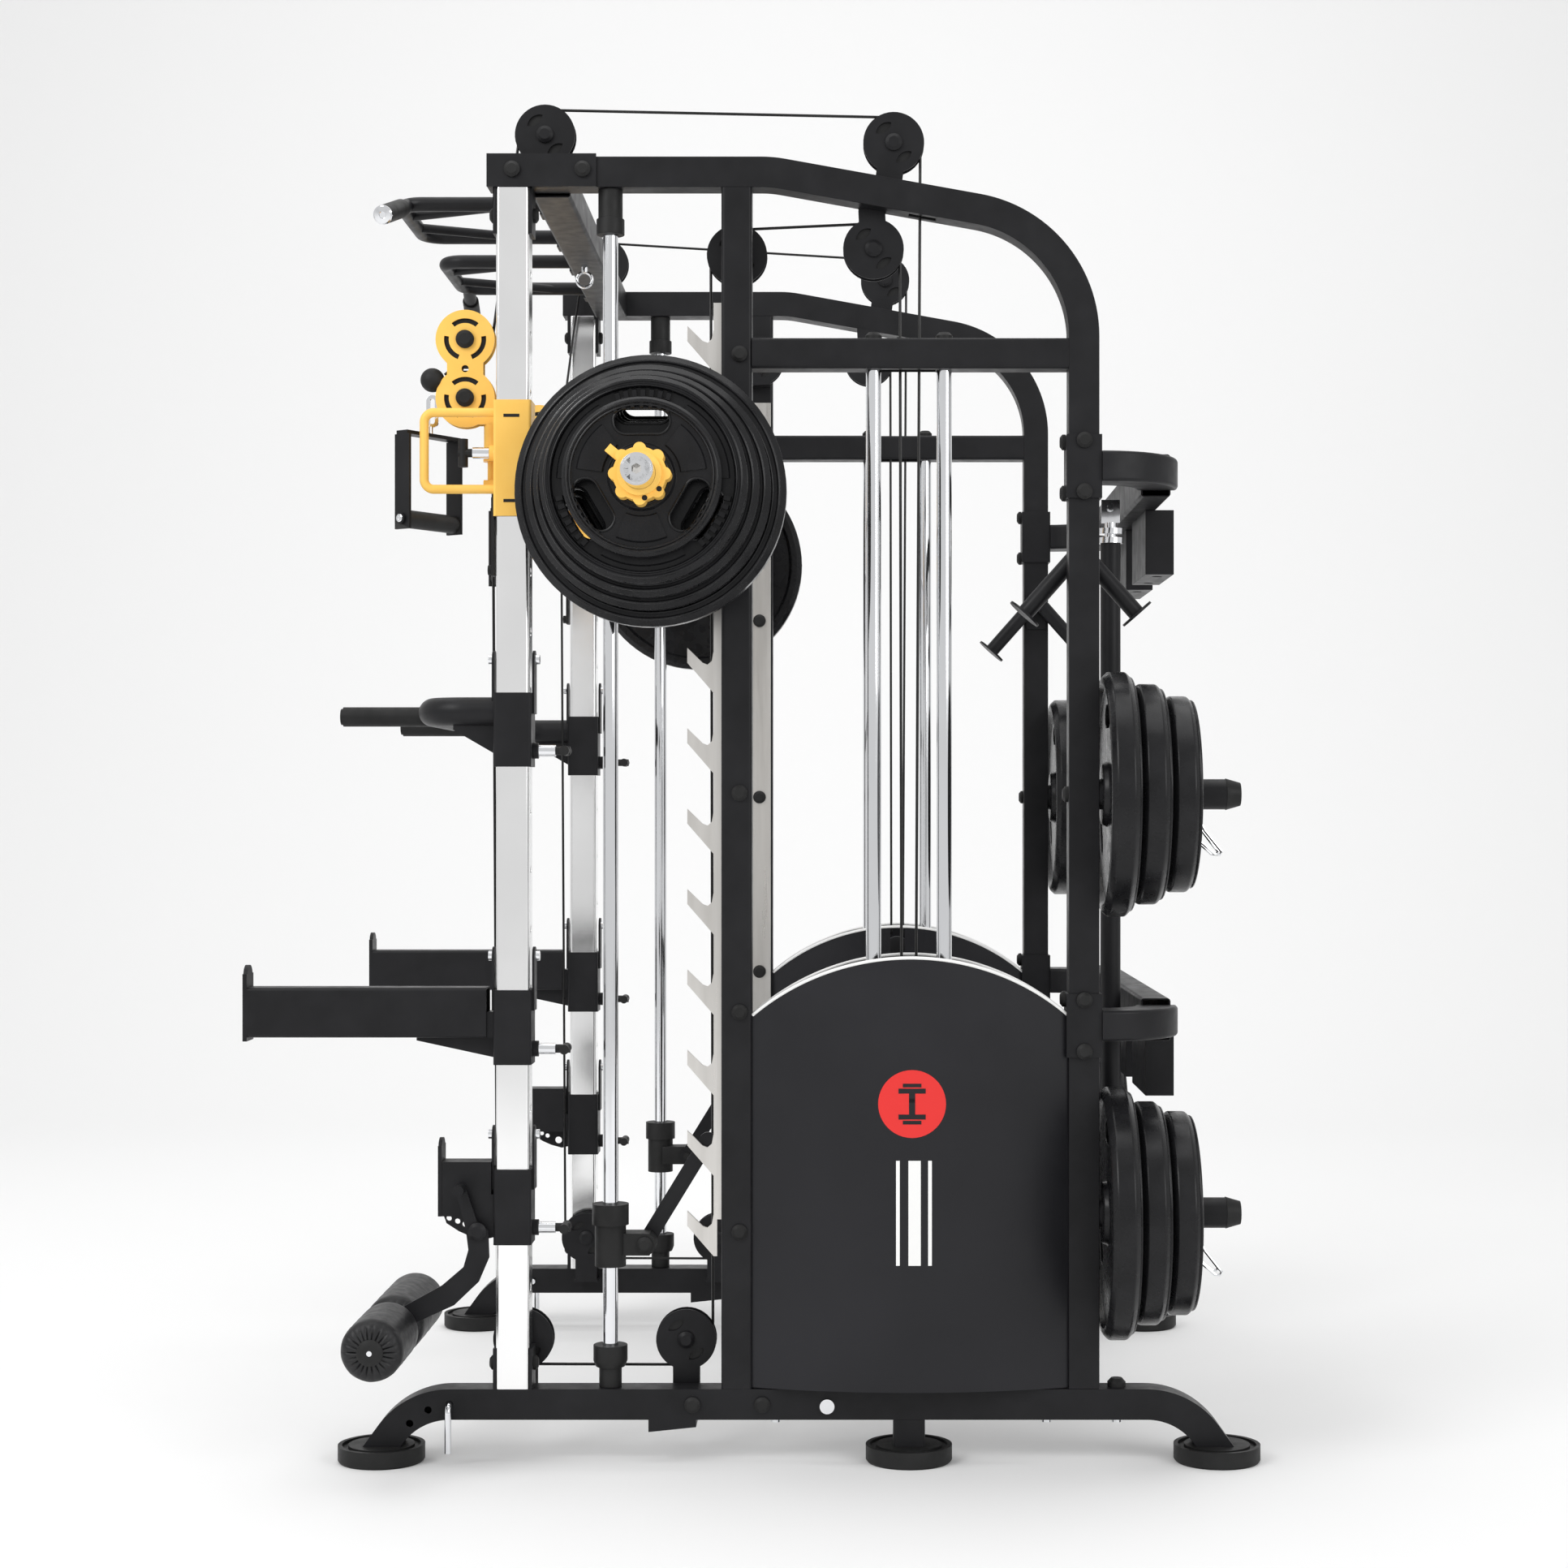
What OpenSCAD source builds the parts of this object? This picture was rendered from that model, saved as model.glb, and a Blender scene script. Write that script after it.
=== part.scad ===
// Smith machine: a rack with a guided bar, two cable stacks and sliding attachments.
// Millimetres, +Z up, +X is the machine's right, -Y its front, origin on the floor
// under the middle. Everything on the right side is drawn once and mirrored.

/* [Frame] */
// Distance from the middle to each side frame's centre plane
frame_x = 580; // [540:5:620]
// Outer width of the square frame tubes
tube = 50; // [44:1:56]
// Wall of the frame tubes
wall = 3; // [2:0.5:4]
// Height of the base rail's centre
base_z = 97; // [90:1:110]
// Height of the top rail's centre
top_z = 2111; // [2080:1:2140]
// Front end of the top rail
top_front_y = -434; // [-450:1:-425]
// Place of the bend where the top rail starts to slope
slope_y = 32; // [20:1:60]
// Slope of the top rail's rear part in degrees
slope = 10.2; // [6:0.2:12]
// Radius of the bend into the rear post
rear_bend = 211; // [180:1:230]
// Depth place of the rear post
rear_y = 542; // [530:1:560]
// Depth place of the mid post
mid_y = -26; // [-30:1:-20]
// Depth place of the front post
front_y = -392; // [-400:1:-385]
// Outer width of the front post
post = 54; // [50:1:58]
// Height of the beam over the weight stack
stack_beam_z = 1815; // [1800:1:1840]

/* [Feet] */
// Radius of a foot disc
foot_r = 71; // [60:1:75]
// Height of a foot disc
foot_h = 28; // [22:1:34]
// Front foot's place
foot_front_y = -610; // [-620:1:-600]
// Middle foot's place
foot_mid_y = 256; // [240:1:270]
// Rear foot's place
foot_rear_y = 762; // [755:1:770]

/* [Bar] */
// Depth place of the guide rods
rod_y = -234; // [-240:1:-228]
// Radius of the guide rods
rod_r = 12.5; // [11:0.5:14]
// Depth place of the bar's axis
bar_y = -161; // [-165:1:-157]
// Height of the bar's axis
bar_z = 1581; // [1570:1:1590]
// Half length of the bar
bar_half = 965; // [950:5:980]
// Radius of the loading sleeve
sleeve_r = 25; // [24:0.5:26]
// Distance between the teeth of the catch rack
pitch = 132.9; // [130:0.1:135]
// Number of teeth on a catch rack
teeth = 12; // [10:1:12]

/* [Carriages] */
// Distance between the holes of a front post
hole_pitch = 97.8; // [90:0.1:100]
// Height of the lowest plunger, on the J-hook
plunger_z = 383; // [380:1:386]
// Outer width of a carriage sleeve
sleeve_w = 62; // [60:1:66]
// Gap between the post and a sleeve
slip = 0.5; // [0.4:0.1:1]

/* [Cables] */
// Groove radius of a pulley wheel
groove_r = 41; // [36:1:44]
// Outer radius of a pulley wheel
wheel_r = 46; // [44:1:48]
// Radius of a cable
cable_r = 2.4; // [2:0.1:3]

/* [Hidden] */
$fn = 32;

black = [0.10, 0.10, 0.11];
rubber = [0.07, 0.07, 0.07];
bright = [0.85, 0.86, 0.88];
yellow = [1.00, 0.78, 0.28];
half = tube / 2;
hair = 0.1;                       // clearance between static pieces that meet on a curve
base_top = base_z + half;
base_bottom = base_z - half;
top_bottom = top_z - half;
corner_r = 6;

// ---- helpers ----
module both_sides() {
    children();
    mirror([1, 0, 0]) children();
}

module side(name) {
    if (name == "right") children();
    else mirror([1, 0, 0]) children();
}

// Rectangle with true round corners, w along x and d along y.
module round_rect(w, d, r) {
    square([w - 2 * r, d], center = true);
    square([w, d - 2 * r], center = true);
    for (sx = [-1, 1])
        for (sy = [-1, 1])
            translate([sx * (w / 2 - r), sy * (d / 2 - r)]) circle(r);
}

module tube_section(w = tube, d = tube, t = wall) {
    difference() {
        round_rect(w, d, corner_r);
        square([w - 2 * t, d - 2 * t], center = true);
    }
}

module tube_x(y, z, x0, x1, w = tube, h = tube) {
    translate([x0, y, z]) rotate([90, 0, 90]) linear_extrude(x1 - x0) tube_section(w, h);
}

module tube_y(x, z, y0, y1, w = tube, h = tube) {
    translate([x, y1, z]) rotate([90, 0, 0]) linear_extrude(y1 - y0) tube_section(w, h);
}

module tube_z(x, y, z0, z1, w = tube, d = tube) {
    translate([x, y, z0]) linear_extrude(z1 - z0) tube_section(w, d);
}

module rod_along_x(y, z, x0, x1, r) {
    translate([x0, y, z]) rotate([0, 90, 0]) cylinder(r = r, h = x1 - x0);
}

module rod_along_y(x, z, y0, y1, r) {
    translate([x, y0, z]) rotate([-90, 0, 0]) cylinder(r = r, h = y1 - y0);
}

module rod_along_z(x, y, z0, z1, r) {
    translate([x, y, z0]) cylinder(r = r, h = z1 - z0);
}

module box(x0, x1, y0, y1, z0, z1) {
    translate([x0, y0, z0]) cube([x1 - x0, y1 - y0, z1 - z0]);
}

// Plate in a plane of constant x: points are [y, z], from x0 to x1.
module plate_x(x0, x1, points) {
    translate([x0, 0, 0]) rotate([90, 0, 90]) linear_extrude(x1 - x0) polygon(points);
}

// Bend of a section about an axis along x, from +Z towards +Y (turn > 0) or -Y.
module bend(turn, radius) {
    mirror([0, turn < 0 ? 1 : 0, 0])
        translate([0, radius, 0])
            rotate([90, 0, -90])
                rotate_extrude(angle = abs(turn), $fn = 96)
                    translate([radius, 0]) children();
}

// Sweep of a section along straight runs and bends: steps are [length, turn, radius].
module sweep(steps, i = 0) {
    run = steps[i][0];
    turn = steps[i][1];
    radius = steps[i][2];
    sense = sign(turn);
    if (run > 0) linear_extrude(run) children();
    translate([0, 0, run]) {
        if (turn != 0) bend(turn, radius) children();
        if (i + 1 < len(steps))
            translate([0, sense * radius * (1 - cos(turn)), radius * sin(abs(turn))])
                rotate([-turn, 0, 0])
                    sweep(steps, i + 1) children();
    }
}

// Domed cap of a bolt, axis along z, standing on z = 0.
module cap(r = 13, h = 9) {
    cylinder(r = r, h = h * 0.55);
    translate([0, 0, h * 0.55]) cylinder(r1 = r, r2 = r * 0.62, h = h * 0.45, $fn = 24);
}

module cap_out(x, y, z, r = 13, h = 9) {
    translate([x, y, z]) rotate([0, 90, 0]) cap(r, h);
}

module cap_front(x, y, z, r = 13, h = 9) {
    translate([x, y, z]) rotate([90, 0, 0]) cap(r, h);
}

module cap_rear(x, y, z, r = 13, h = 9) {
    translate([x, y, z]) rotate([-90, 0, 0]) cap(r, h);
}

module cap_up(x, y, z, r = 13, h = 9) {
    translate([x, y, z]) cap(r, h);
}

// ---- frame ----
end_angle = 54;                   // slope of the base rail's ends
end_bend = 120;                   // centreline radius of the base rail's ends
end_drop = base_z - end_bend * (1 - cos(end_angle)) - foot_h;
end_reach = end_bend * sin(end_angle) + end_drop / tan(end_angle);
base_front_y = foot_front_y + 4 + end_reach;
base_rear_y = foot_rear_y - 6 - end_reach;
band_holes = [[-495, 97], [-530, 88], [-560, 66]];
band_hole_r = 6;
inside = tube - 2 * wall;
facet = 3;                        // degrees of bend for each flat of a bent tube

function arc_points(c, r, a0, a1) =
    let (n = ceil(abs(a1 - a0) / facet))
    [for (i = [0:n]) let (a = a0 + (a1 - a0) * i / n) c + r * [cos(a), sin(a)]];

function backwards(list) = [for (i = [len(list) - 1:-1:0]) list[i]];

// One long edge of the base rail, off above (+) or below (-) its centreline.
function rail_end(y, sense, off) =
    let (a = 90 + sense * end_angle,
         c = [y, base_z - end_bend],
         p = c + (end_bend + off) * [cos(a), sin(a)],
         run = (p[1] - foot_h) / sin(end_angle))
    concat([[p[0] - sense * run * cos(end_angle), foot_h]],
           arc_points(c, end_bend + off, a, 90));

function base_edge(off) =
    concat(rail_end(base_front_y, 1, off), backwards(rail_end(base_rear_y, -1, off)));

module band(edge_a, edge_b, width) {
    translate([frame_x - width / 2, 0, 0]) rotate([90, 0, 90])
        linear_extrude(width) polygon(concat(edge_a, backwards(edge_b)));
}

module base_rails() {
    color(black) both_sides() {
        difference() {
            band(base_edge(half), base_edge(-half), tube);
            band(base_edge(half - wall), base_edge(wall - half), inside);
            for (hole = band_holes)
                rod_along_x(hole[0], hole[1], frame_x - tube, frame_x + tube, band_hole_r);
        }
        tube_z(frame_x, foot_mid_y, foot_h, base_bottom, 52, 52);
        // Small step plate that hangs under the rail behind the guide rod.
        plate_x(frame_x - half, frame_x + half,
            [[-170, base_bottom], [-92, base_bottom], [-92, base_bottom - 12],
             [-170, base_bottom - 20]]);
    }
}

slope_bend = 200;
slope_tangent = slope_bend * tan(slope / 2);
turn_down = 90 - slope;
rear_tangent = rear_bend * tan(turn_down / 2);
rear_corner_z = top_z - (rear_y - slope_y) * tan(slope);
bend_z = rear_corner_z - rear_tangent;
cable_slot_y = 278;

// One long edge of the top rail and rear post, off outside (+) or inside (-) the centreline.
function top_edge(off, front, foot) = concat(
    [[front, top_z + off]],
    arc_points([slope_y - slope_tangent, top_z - slope_bend], slope_bend + off, 90, turn_down),
    arc_points([rear_y - rear_bend, bend_z], rear_bend + off, turn_down, 0),
    [[rear_y + off, foot]]);

module top_rails() {
    inner_front = top_front_y + wall;
    color(black) both_sides() {
        difference() {
            band(top_edge(half, top_front_y, base_top), top_edge(-half, top_front_y, base_top),
                tube);
            band(top_edge(half - wall, inner_front, base_top - 1),
                top_edge(wall - half, inner_front, base_top - 1), inside);
            // Slot for the cable that passes down through the rail.
            box(frame_x - 9, frame_x + 9, cable_slot_y - 22, cable_slot_y + 22,
                top_z - 120, top_z + 60);
        }
    }
}

stack_front_y = mid_y + half;
stack_rear_y = rear_y - half;
beam_top = stack_beam_z + half;
beam_bottom = stack_beam_z - half;

module stack_frames() {
    color(black) both_sides() {
        tube_z(frame_x, mid_y, base_top, top_bottom);
        difference() {
            tube_y(frame_x, stack_beam_z, stack_front_y, stack_rear_y);
            box(frame_x - 22, frame_x + 9, 210, 300, beam_bottom - 20, beam_top + 20);
        }
    }
}

post_holes = [for (i = [-1:16]) plunger_z + i * hole_pitch];
post_hole_r = 7;

module front_posts() {
    color(bright) both_sides()
        difference() {
            tube_z(frame_x, front_y, base_top, top_bottom, post, post);
            for (z = post_holes) rod_along_y(frame_x, z, front_y - post, front_y + post, post_hole_r);
        }
}

// Straight rod between two points.
module rod_between(p, q, r) {
    d = q - p;
    run = norm(d);
    translate(p) rotate([0, acos(d[2] / run), atan2(d[1], d[0])]) cylinder(r = r, h = run);
}

// Closed tube swept along a path of points that never runs along x.
module cord(path, r, sides_n = 8) {
    last = len(path) - 1;
    rings = [for (i = [0:last])
        let (d = path[min(i + 1, last)] - path[max(i - 1, 0)],
             t = d / norm(d),
             w0 = [1, 0, 0] - t[0] * t,
             w = w0 / norm(w0),
             u = cross(t, w))
        for (k = [0:sides_n - 1])
            let (a = 360 * k / sides_n) path[i] + r * (cos(a) * u + sin(a) * w)];
    walls = [for (i = [0:last - 1], k = [0:sides_n - 1])
        let (n = (k + 1) % sides_n, b = i * sides_n)
        each [[b + k, b + n, b + sides_n + n], [b + k, b + sides_n + n, b + sides_n + k]]];
    lid = [for (k = [sides_n - 1:-1:0]) k];
    end = [for (k = [0:sides_n - 1]) last * sides_n + k];
    polyhedron(rings, concat(walls, [lid, end]), convexity = 6);
}

// ---- feet, caps and small black rubber pieces ----
outer_x = frame_x + half;
inner_x = frame_x - half;
clamp_t = 4;
clamp_z = [1630, 716];            // heights of the two rear crossbeams
clamp_h = 104;
bolt_gap = 42;                    // half distance between a clamp's two bolts
peg_z = [1094, 407];
rack_bolts = [1457, 1094, 735];
mid_bolts = [1813, 1096, 738, 379];
stack_rod_y = [198, 314];
bracket_t = 5;

module foot_disc(y) {
    translate([frame_x, y, 0]) difference() {
        union() {
            cylinder(r1 = foot_r - 3, r2 = foot_r, h = 4);
            translate([0, 0, 4]) cylinder(r = foot_r, h = foot_h - 4);
        }
        translate([0, 0, foot_h - 5]) difference() {
            cylinder(r = foot_r - 7, h = 10);
            translate([0, 0, -1]) cylinder(r = foot_r - 17, h = 12);
        }
    }
}

module feet_and_caps() {
    color(rubber) both_sides() {
        for (y = [foot_front_y, foot_mid_y, foot_rear_y]) foot_disc(y);
        for (y = [-98, 16]) cap_out(outer_x, y, base_z);
        for (z = mid_bolts) cap_out(outer_x, mid_y + 5, z);
        for (z = rack_bolts) mirror([1, 0, 0]) cap_out(-549, mid_y - 2, z);
        for (y = [front_y, -277]) cap_out(outer_x + clamp_t, y, top_z + 3);
        for (zc = clamp_z)
            for (dz = [-bolt_gap, bolt_gap]) {
                cap_out(outer_x + clamp_t, rear_y, zc + dz);
                cap_front(frame_x, rear_y - half - clamp_t, zc + dz);
            }
        for (z = peg_z) cap_front(frame_x, rear_y - half, z);
        for (z = [161, 2044]) {
            cap_front(frame_x, front_y - post / 2 - bracket_t, z, 12, 8);
            cap_rear(frame_x, front_y + post / 2 + bracket_t, z, 12, 8);
        }
        for (y = stack_rod_y) cap_up(frame_x, y, beam_top, 14, 12);
        cap_up(frame_x, 597, base_top, 15, 14);
    }
}

// ---- crossbeams ----
beam_front_y = -334;
rear_beam_h = 72;
rear_beam_bend = 102;
rear_beam_y = 673;

module rear_beam(z) {
    start = rear_y + half + clamp_t;
    lead = rear_beam_y - rear_beam_bend - start;
    translate([frame_x, start, z]) rotate([-90, 90, 0])
        sweep([[lead, 90, rear_beam_bend], [2 * (frame_x - rear_beam_bend), 90, rear_beam_bend],
               [lead, 0, 0]])
            tube_section(rear_beam_h, tube);
}

module crossbeams() {
    color(black) {
        tube_x(beam_front_y, top_z - 3, -inner_x, inner_x, 64, 56);
        for (z = clamp_z) rear_beam(z);
    }
}

// ---- pull-up station ----
grip_z = 2108;
pull_r = 12.5;
loop_in = 110;
loop_out = 378;
loop_front = -613;
loop_bend = 38;
wide_tip = [548, loop_front, 2053];
wide_root = [loop_out - 12, loop_front + 12, grip_z];
beam_face = beam_front_y - 32;

module pull_loop() {
    run = beam_face - loop_front - loop_bend;
    translate([loop_in, beam_face, grip_z]) rotate([90, -90, 0])
        sweep([[run, -90, loop_bend], [loop_out - loop_in - 2 * loop_bend, -90, loop_bend],
               [run, 0, 0]])
            circle(pull_r);
    rod_between([loop_in, -420, grip_z - 2], [loop_in + 90, loop_front, grip_z - 2], 8);
    rod_between([loop_out, -420, grip_z - 2], [loop_out - 90, loop_front, grip_z - 2], 8);
    rod_between(wide_root, wide_tip, pull_r);
    for (x = [loop_in, loop_out]) box(x - 22, x + 22, beam_face - 5, beam_face, 2086, 2130);
}

module pull_up_bar() {
    color(black) both_sides() pull_loop();
}

grip_share = 0.30;                // the grip starts this far along the wide handle

module pull_up_grips() {
    along = wide_tip - wide_root;
    color(rubber) both_sides()
        difference() {
            rod_between(wide_root + grip_share * along, wide_root + 0.99 * along, 16);
            rod_between(wide_root, wide_root + 1.1 * along, pull_r + hair);
        }
}

// ---- pulley places: [x, y, z] of each axle on the right side ----
cable_x = 530;
front_top = [cable_x, -346, 2187];
rear_top = [frame_x, 231, 2162];
mid_top = [cable_x, -28, 1988];
rail_low = [560, 198, 1992];
front_low = [cable_x, -382, 192];
mid_low = [cable_x, -112, 191];
wheel_t = 15;                     // thickness of a wheel
cheek_gap = 9;                    // from the wheel's middle to a cheek's inner face
cheek_t = 3;
cheek_r = 50;
axle_r = 6;

module lens(size) {
    intersection() {
        translate([-size, 0]) circle(size * 1.55);
        translate([size, 0]) circle(size * 1.55);
    }
}

// One cheek plate about the axle at p; neck is [y, z] towards the steel it is fixed to.
module cheek(p, neck, w) {
    d = neck - [p[1], p[2]];
    run = norm(d);
    rotate([90, 0, 90]) linear_extrude(cheek_t) difference() {
        union() {
            translate([p[1], p[2]]) circle(cheek_r);
            translate([p[1], p[2]]) rotate(atan2(d[1], d[0]))
                translate([0, -w / 2]) square([run, w]);
        }
        for (s = [-1, 1])
            translate([p[1], p[2]]) rotate(35)
                translate([0, s * 29]) rotate(90) lens(13);
    }
}

module pulley_cheeks(p, neck, w = 44) {
    for (x = [p[0] + cheek_gap, p[0] - cheek_gap - cheek_t])
        translate([x, 0, 0]) cheek(p, neck, w);
    rod_along_x(p[1], p[2], p[0] - cheek_gap, p[0] + cheek_gap, axle_r);
    cap_out(p[0] + cheek_gap + cheek_t, p[1], p[2], 14, 8);
    translate([2 * p[0], 0, 0]) mirror([1, 0, 0])
        cap_out(p[0] + cheek_gap + cheek_t, p[1], p[2], 14, 8);
}

module post_clamp(z) {
    difference() {
        box(inner_x - clamp_t, outer_x + clamp_t, rear_y - half - clamp_t,
            rear_y + half + clamp_t, z - clamp_h / 2, z + clamp_h / 2);
        box(inner_x, outer_x, rear_y - half, rear_y + half, z - clamp_h, z + clamp_h);
    }
}

module post_end_plates(z0, z1) {
    for (face = [front_y - post / 2 - bracket_t, front_y + post / 2])
        box(frame_x - 25, frame_x + 25, face, face + bracket_t, z0, z1);
}

rail_slope_top = rear_top[2] - 64;

function rail_axis_z(y) = top_z - (y - slope_y) * tan(slope);

// The sloping rail's own space, so that the pulley brackets end on its faces.
module rail_room() {
    reach = half / cos(slope) + hair;
    ends = [rail_low[1] - 60, rear_top[1] + 60];
    plate_x(inner_x - 10, outer_x + 10, [
        [ends[0], rail_axis_z(ends[0]) - reach], [ends[1], rail_axis_z(ends[1]) - reach],
        [ends[1], rail_axis_z(ends[1]) + reach], [ends[0], rail_axis_z(ends[0]) + reach]]);
}

module brackets() {
    color(black) both_sides() {
        box(outer_x, outer_x + clamp_t, top_front_y, -255, top_bottom, top_z + 29);
        for (z = clamp_z) post_clamp(z);
        post_end_plates(base_top, base_top + 66);
        post_end_plates(top_bottom - 76, top_bottom);
        // Front top pulley stands beside the rail on a foot that reaches over it.
        pulley_cheeks(front_top, [-346, top_z + half + 4]);
        box(front_top[0] - 14, outer_x - 6, -370, -322, top_z + half, top_z + half + 4);
        difference() {
            union() {
                // Rear top pulley stands on a wedge on the sloping rail.
                pulley_cheeks(rear_top, [rear_top[1] - 8, rail_slope_top + 4]);
                box(frame_x - 16, frame_x + 16, rear_top[1] - 30, rear_top[1] + 12,
                    rail_slope_top - 2, rail_slope_top + 9);
                // Under-rail pulley hangs from the rail.
                pulley_cheeks(rail_low, [rail_low[1] - 3, rail_low[2] + 68]);
            }
            rail_room();
        }
        // Mid-post pulley is carried by a short arm from the post's inner face.
        pulley_cheeks(mid_top, [mid_y, mid_top[2] - 50]);
        box(cable_x + cheek_gap + cheek_t, inner_x, mid_y - 20, mid_y + 20,
            mid_top[2] - 50, mid_top[2] - 22);
        // Two low pulleys stand on angles fixed to the base rail's inner face.
        for (p = [front_low, mid_low]) {
            pulley_cheeks(p, [p[1], base_z + 8]);
            box(cable_x - cheek_gap - cheek_t, inner_x, p[1] - 24, p[1] + 24,
                base_z + 4, base_z + 8);
        }
    }
}

// ---- bar storage boxes under the rear crossbeams ----
box_in = 55;
box_out = 280;
box_y = [677, 727];
box_drop = 113;

module storage_box(top) {
    bottom = top - box_drop;
    difference() {
        box(box_in, box_out, box_y[0], box_y[1], bottom, top);
        box(box_in + wall, box_out - wall, box_y[0] + wall, box_y[1] - wall,
            bottom + wall, top + 1);
        for (x = [box_in + 45, box_out - 45])
            rod_along_z(x, 702, bottom - 1, bottom + wall + 1, 9);
    }
}

module bar_storage_boxes() {
    color(black) both_sides()
        for (z = clamp_z) storage_box(z - rear_beam_h / 2);
}

// ---- guide rods, collars and catch racks ----
module guide_rods() {
    color(bright) both_sides() {
        rod_along_z(frame_x, rod_y, base_top, top_bottom, rod_r);
        for (y = stack_rod_y) rod_along_z(frame_x, y, base_top, beam_bottom, rod_r);
    }
}

module ring_z(x, y, z0, z1, r, bore) {
    translate([x, y, z0]) difference() {
        cylinder(r = r, h = z1 - z0);
        translate([0, 0, -1]) cylinder(r = bore, h = z1 - z0 + 2);
    }
}

module rod_collars() {
    bore = rod_r + hair;
    color(rubber) both_sides() {
        ring_z(frame_x, rod_y, 2012, 2038, 23, bore);
        ring_z(frame_x, rod_y, 2038, top_bottom, 20, bore);
        ring_z(frame_x, rod_y, base_top, 155, 18.5, bore);
        translate([frame_x, rod_y, 155]) difference() {
            union() {
                cylinder(r1 = 24, r2 = 28, h = 10);
                translate([0, 0, 10]) cylinder(r = 28, h = 26);
            }
            translate([0, 0, -1]) cylinder(r = bore, h = 40);
        }
        for (y = stack_rod_y) ring_z(frame_x, y, base_top, 142, 24, bore);
    }
}

rack_x0 = 549;
rack_top = 1906;
rack_bottom = 392;
tooth_tip_y = -109.5;
tooth_top = 1868;                 // top of the highest tooth's tip

function tooth(z) = [
    [tooth_tip_y, z], [tooth_tip_y, z - 25], [-66, z - 75], [-60, z - 75], [-60, z - 6],
    [-66.5, z - 8], [-69, z - 22], [-76, z - 28], [-84, z - 25]];

module catch_racks() {
    color(bright) both_sides() {
        plate_x(rack_x0, inner_x, [[-66, rack_bottom], [-5, rack_bottom], [-5, rack_top],
                                   [-66, rack_top]]);
        for (i = [0:teeth - 1]) plate_x(rack_x0, inner_x, tooth(tooth_top - i * pitch));
    }
}

// ---- weight stacks, heads and pins ----
stack_y = 256;
plate_w = 214;                    // weight plate, front to rear
plate_d = 74;                     // weight plate, side to side
plate_h = 38;
plate_step = 39;
plate_count = 12;
stack_z = 142;
stack_top = stack_z + plate_count * plate_step - (plate_step - plate_h);
stem_r = 10;
pin_r = 5;

module rod_holes(z0, z1) {
    for (y = stack_rod_y) rod_along_z(frame_x, y, z0, z1, rod_r + 0.5);
}

module weight_stacks() {
    color(black) both_sides()
        difference() {
            for (i = [0:plate_count - 1])
                box(frame_x - plate_d / 2, frame_x + plate_d / 2, stack_y - plate_w / 2,
                    stack_y + plate_w / 2, stack_z + i * plate_step,
                    stack_z + i * plate_step + plate_h);
            rod_holes(stack_z - 5, stack_top + 5);
            rod_along_z(frame_x, stack_y, stack_z - 5, stack_top + 5, stem_r + 1.5);
            for (i = [0:plate_count - 1])
                rod_along_x(stack_y, stack_z + i * plate_step + plate_h / 2,
                    frame_x - plate_d, frame_x, pin_r + 1);
        }
}

head_z = stack_top + 1;
head_h = 38;
pin_z = head_z + head_h / 2;
head_wheel_z = 779;

module stack_head(name) {
    color(black) side(name) {
        difference() {
            box(frame_x - plate_d / 2, frame_x + plate_d / 2, stack_y - plate_w / 2,
                stack_y + plate_w / 2, head_z, head_z + head_h);
            rod_holes(head_z - 5, head_z + head_h + 5);
            rod_along_x(stack_y, pin_z, frame_x - plate_d, frame_x + plate_d, pin_r + 0.1);
        }
        difference() {
            rod_along_z(frame_x, stack_y, stack_z + 4, head_z, stem_r);
            for (i = [0:plate_count - 1])
                rod_along_x(stack_y, stack_z + i * plate_step + plate_h / 2,
                    frame_x - plate_d, frame_x + plate_d, pin_r + 1);
        }
        // Yoke with the round cover that the cables pull on.
        box(frame_x - 8, frame_x + 8, stack_y - 26, stack_y + 26, head_z + head_h,
            head_wheel_z);
        rod_along_x(stack_y, head_wheel_z, frame_x - 12, frame_x + 12, 27);
        cap_out(frame_x - 12 + 24, stack_y, head_wheel_z, 15, 8);
    }
}

module selector_pin(name) {
    color(yellow) side(name) {
        rod_along_x(stack_y, pin_z, frame_x - plate_d / 2 - 6, frame_x + 20, pin_r);
        rod_along_x(stack_y, pin_z, frame_x - plate_d / 2 - 22, frame_x - plate_d / 2 - 6, 12);
    }
}

// ---- covers of the weight stacks ----
cover_y0 = stack_front_y;
cover_y1 = stack_rear_y;
cover_mid = (cover_y0 + cover_y1) / 2;
cover_half = (cover_y1 - cover_y0) / 2;
cover_bottom = 124;
cover_side_z = 732;               // height of the cover at its two edges
cover_apex_z = 829;
cover_t = 2.5;

function arc_radius(chord_half, rise) = (chord_half * chord_half + rise * rise) / (2 * rise);

crown_r = arc_radius(cover_half, cover_apex_z - cover_side_z);

module cover_outline() {
    translate([cover_y0, cover_bottom]) square([2 * cover_half, cover_side_z - cover_bottom]);
    intersection() {
        translate([cover_mid, cover_apex_z - crown_r]) circle(crown_r, $fn = 96);
        translate([cover_y0, cover_side_z]) square([2 * cover_half, 120]);
    }
}

// Curved cover: edges at x = root, bulging by rise towards +x.
module cover(root, rise) {
    r = arc_radius(cover_half, rise);
    c = [root + rise - r, cover_mid];
    a = asin(cover_half / r);
    bow = [for (i = [-1:1 / 14:1.001]) a * i];
    intersection() {
        translate([root - 5, 0, 0]) rotate([90, 0, 90]) linear_extrude(rise + 10)
            cover_outline();
        linear_extrude(cover_apex_z + 10)
            polygon(concat([for (t = bow) c + r * [cos(t), sin(t)]],
                           [for (t = backwards(bow)) c + (r - cover_t) * [cos(t), sin(t)]]));
    }
}

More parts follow.
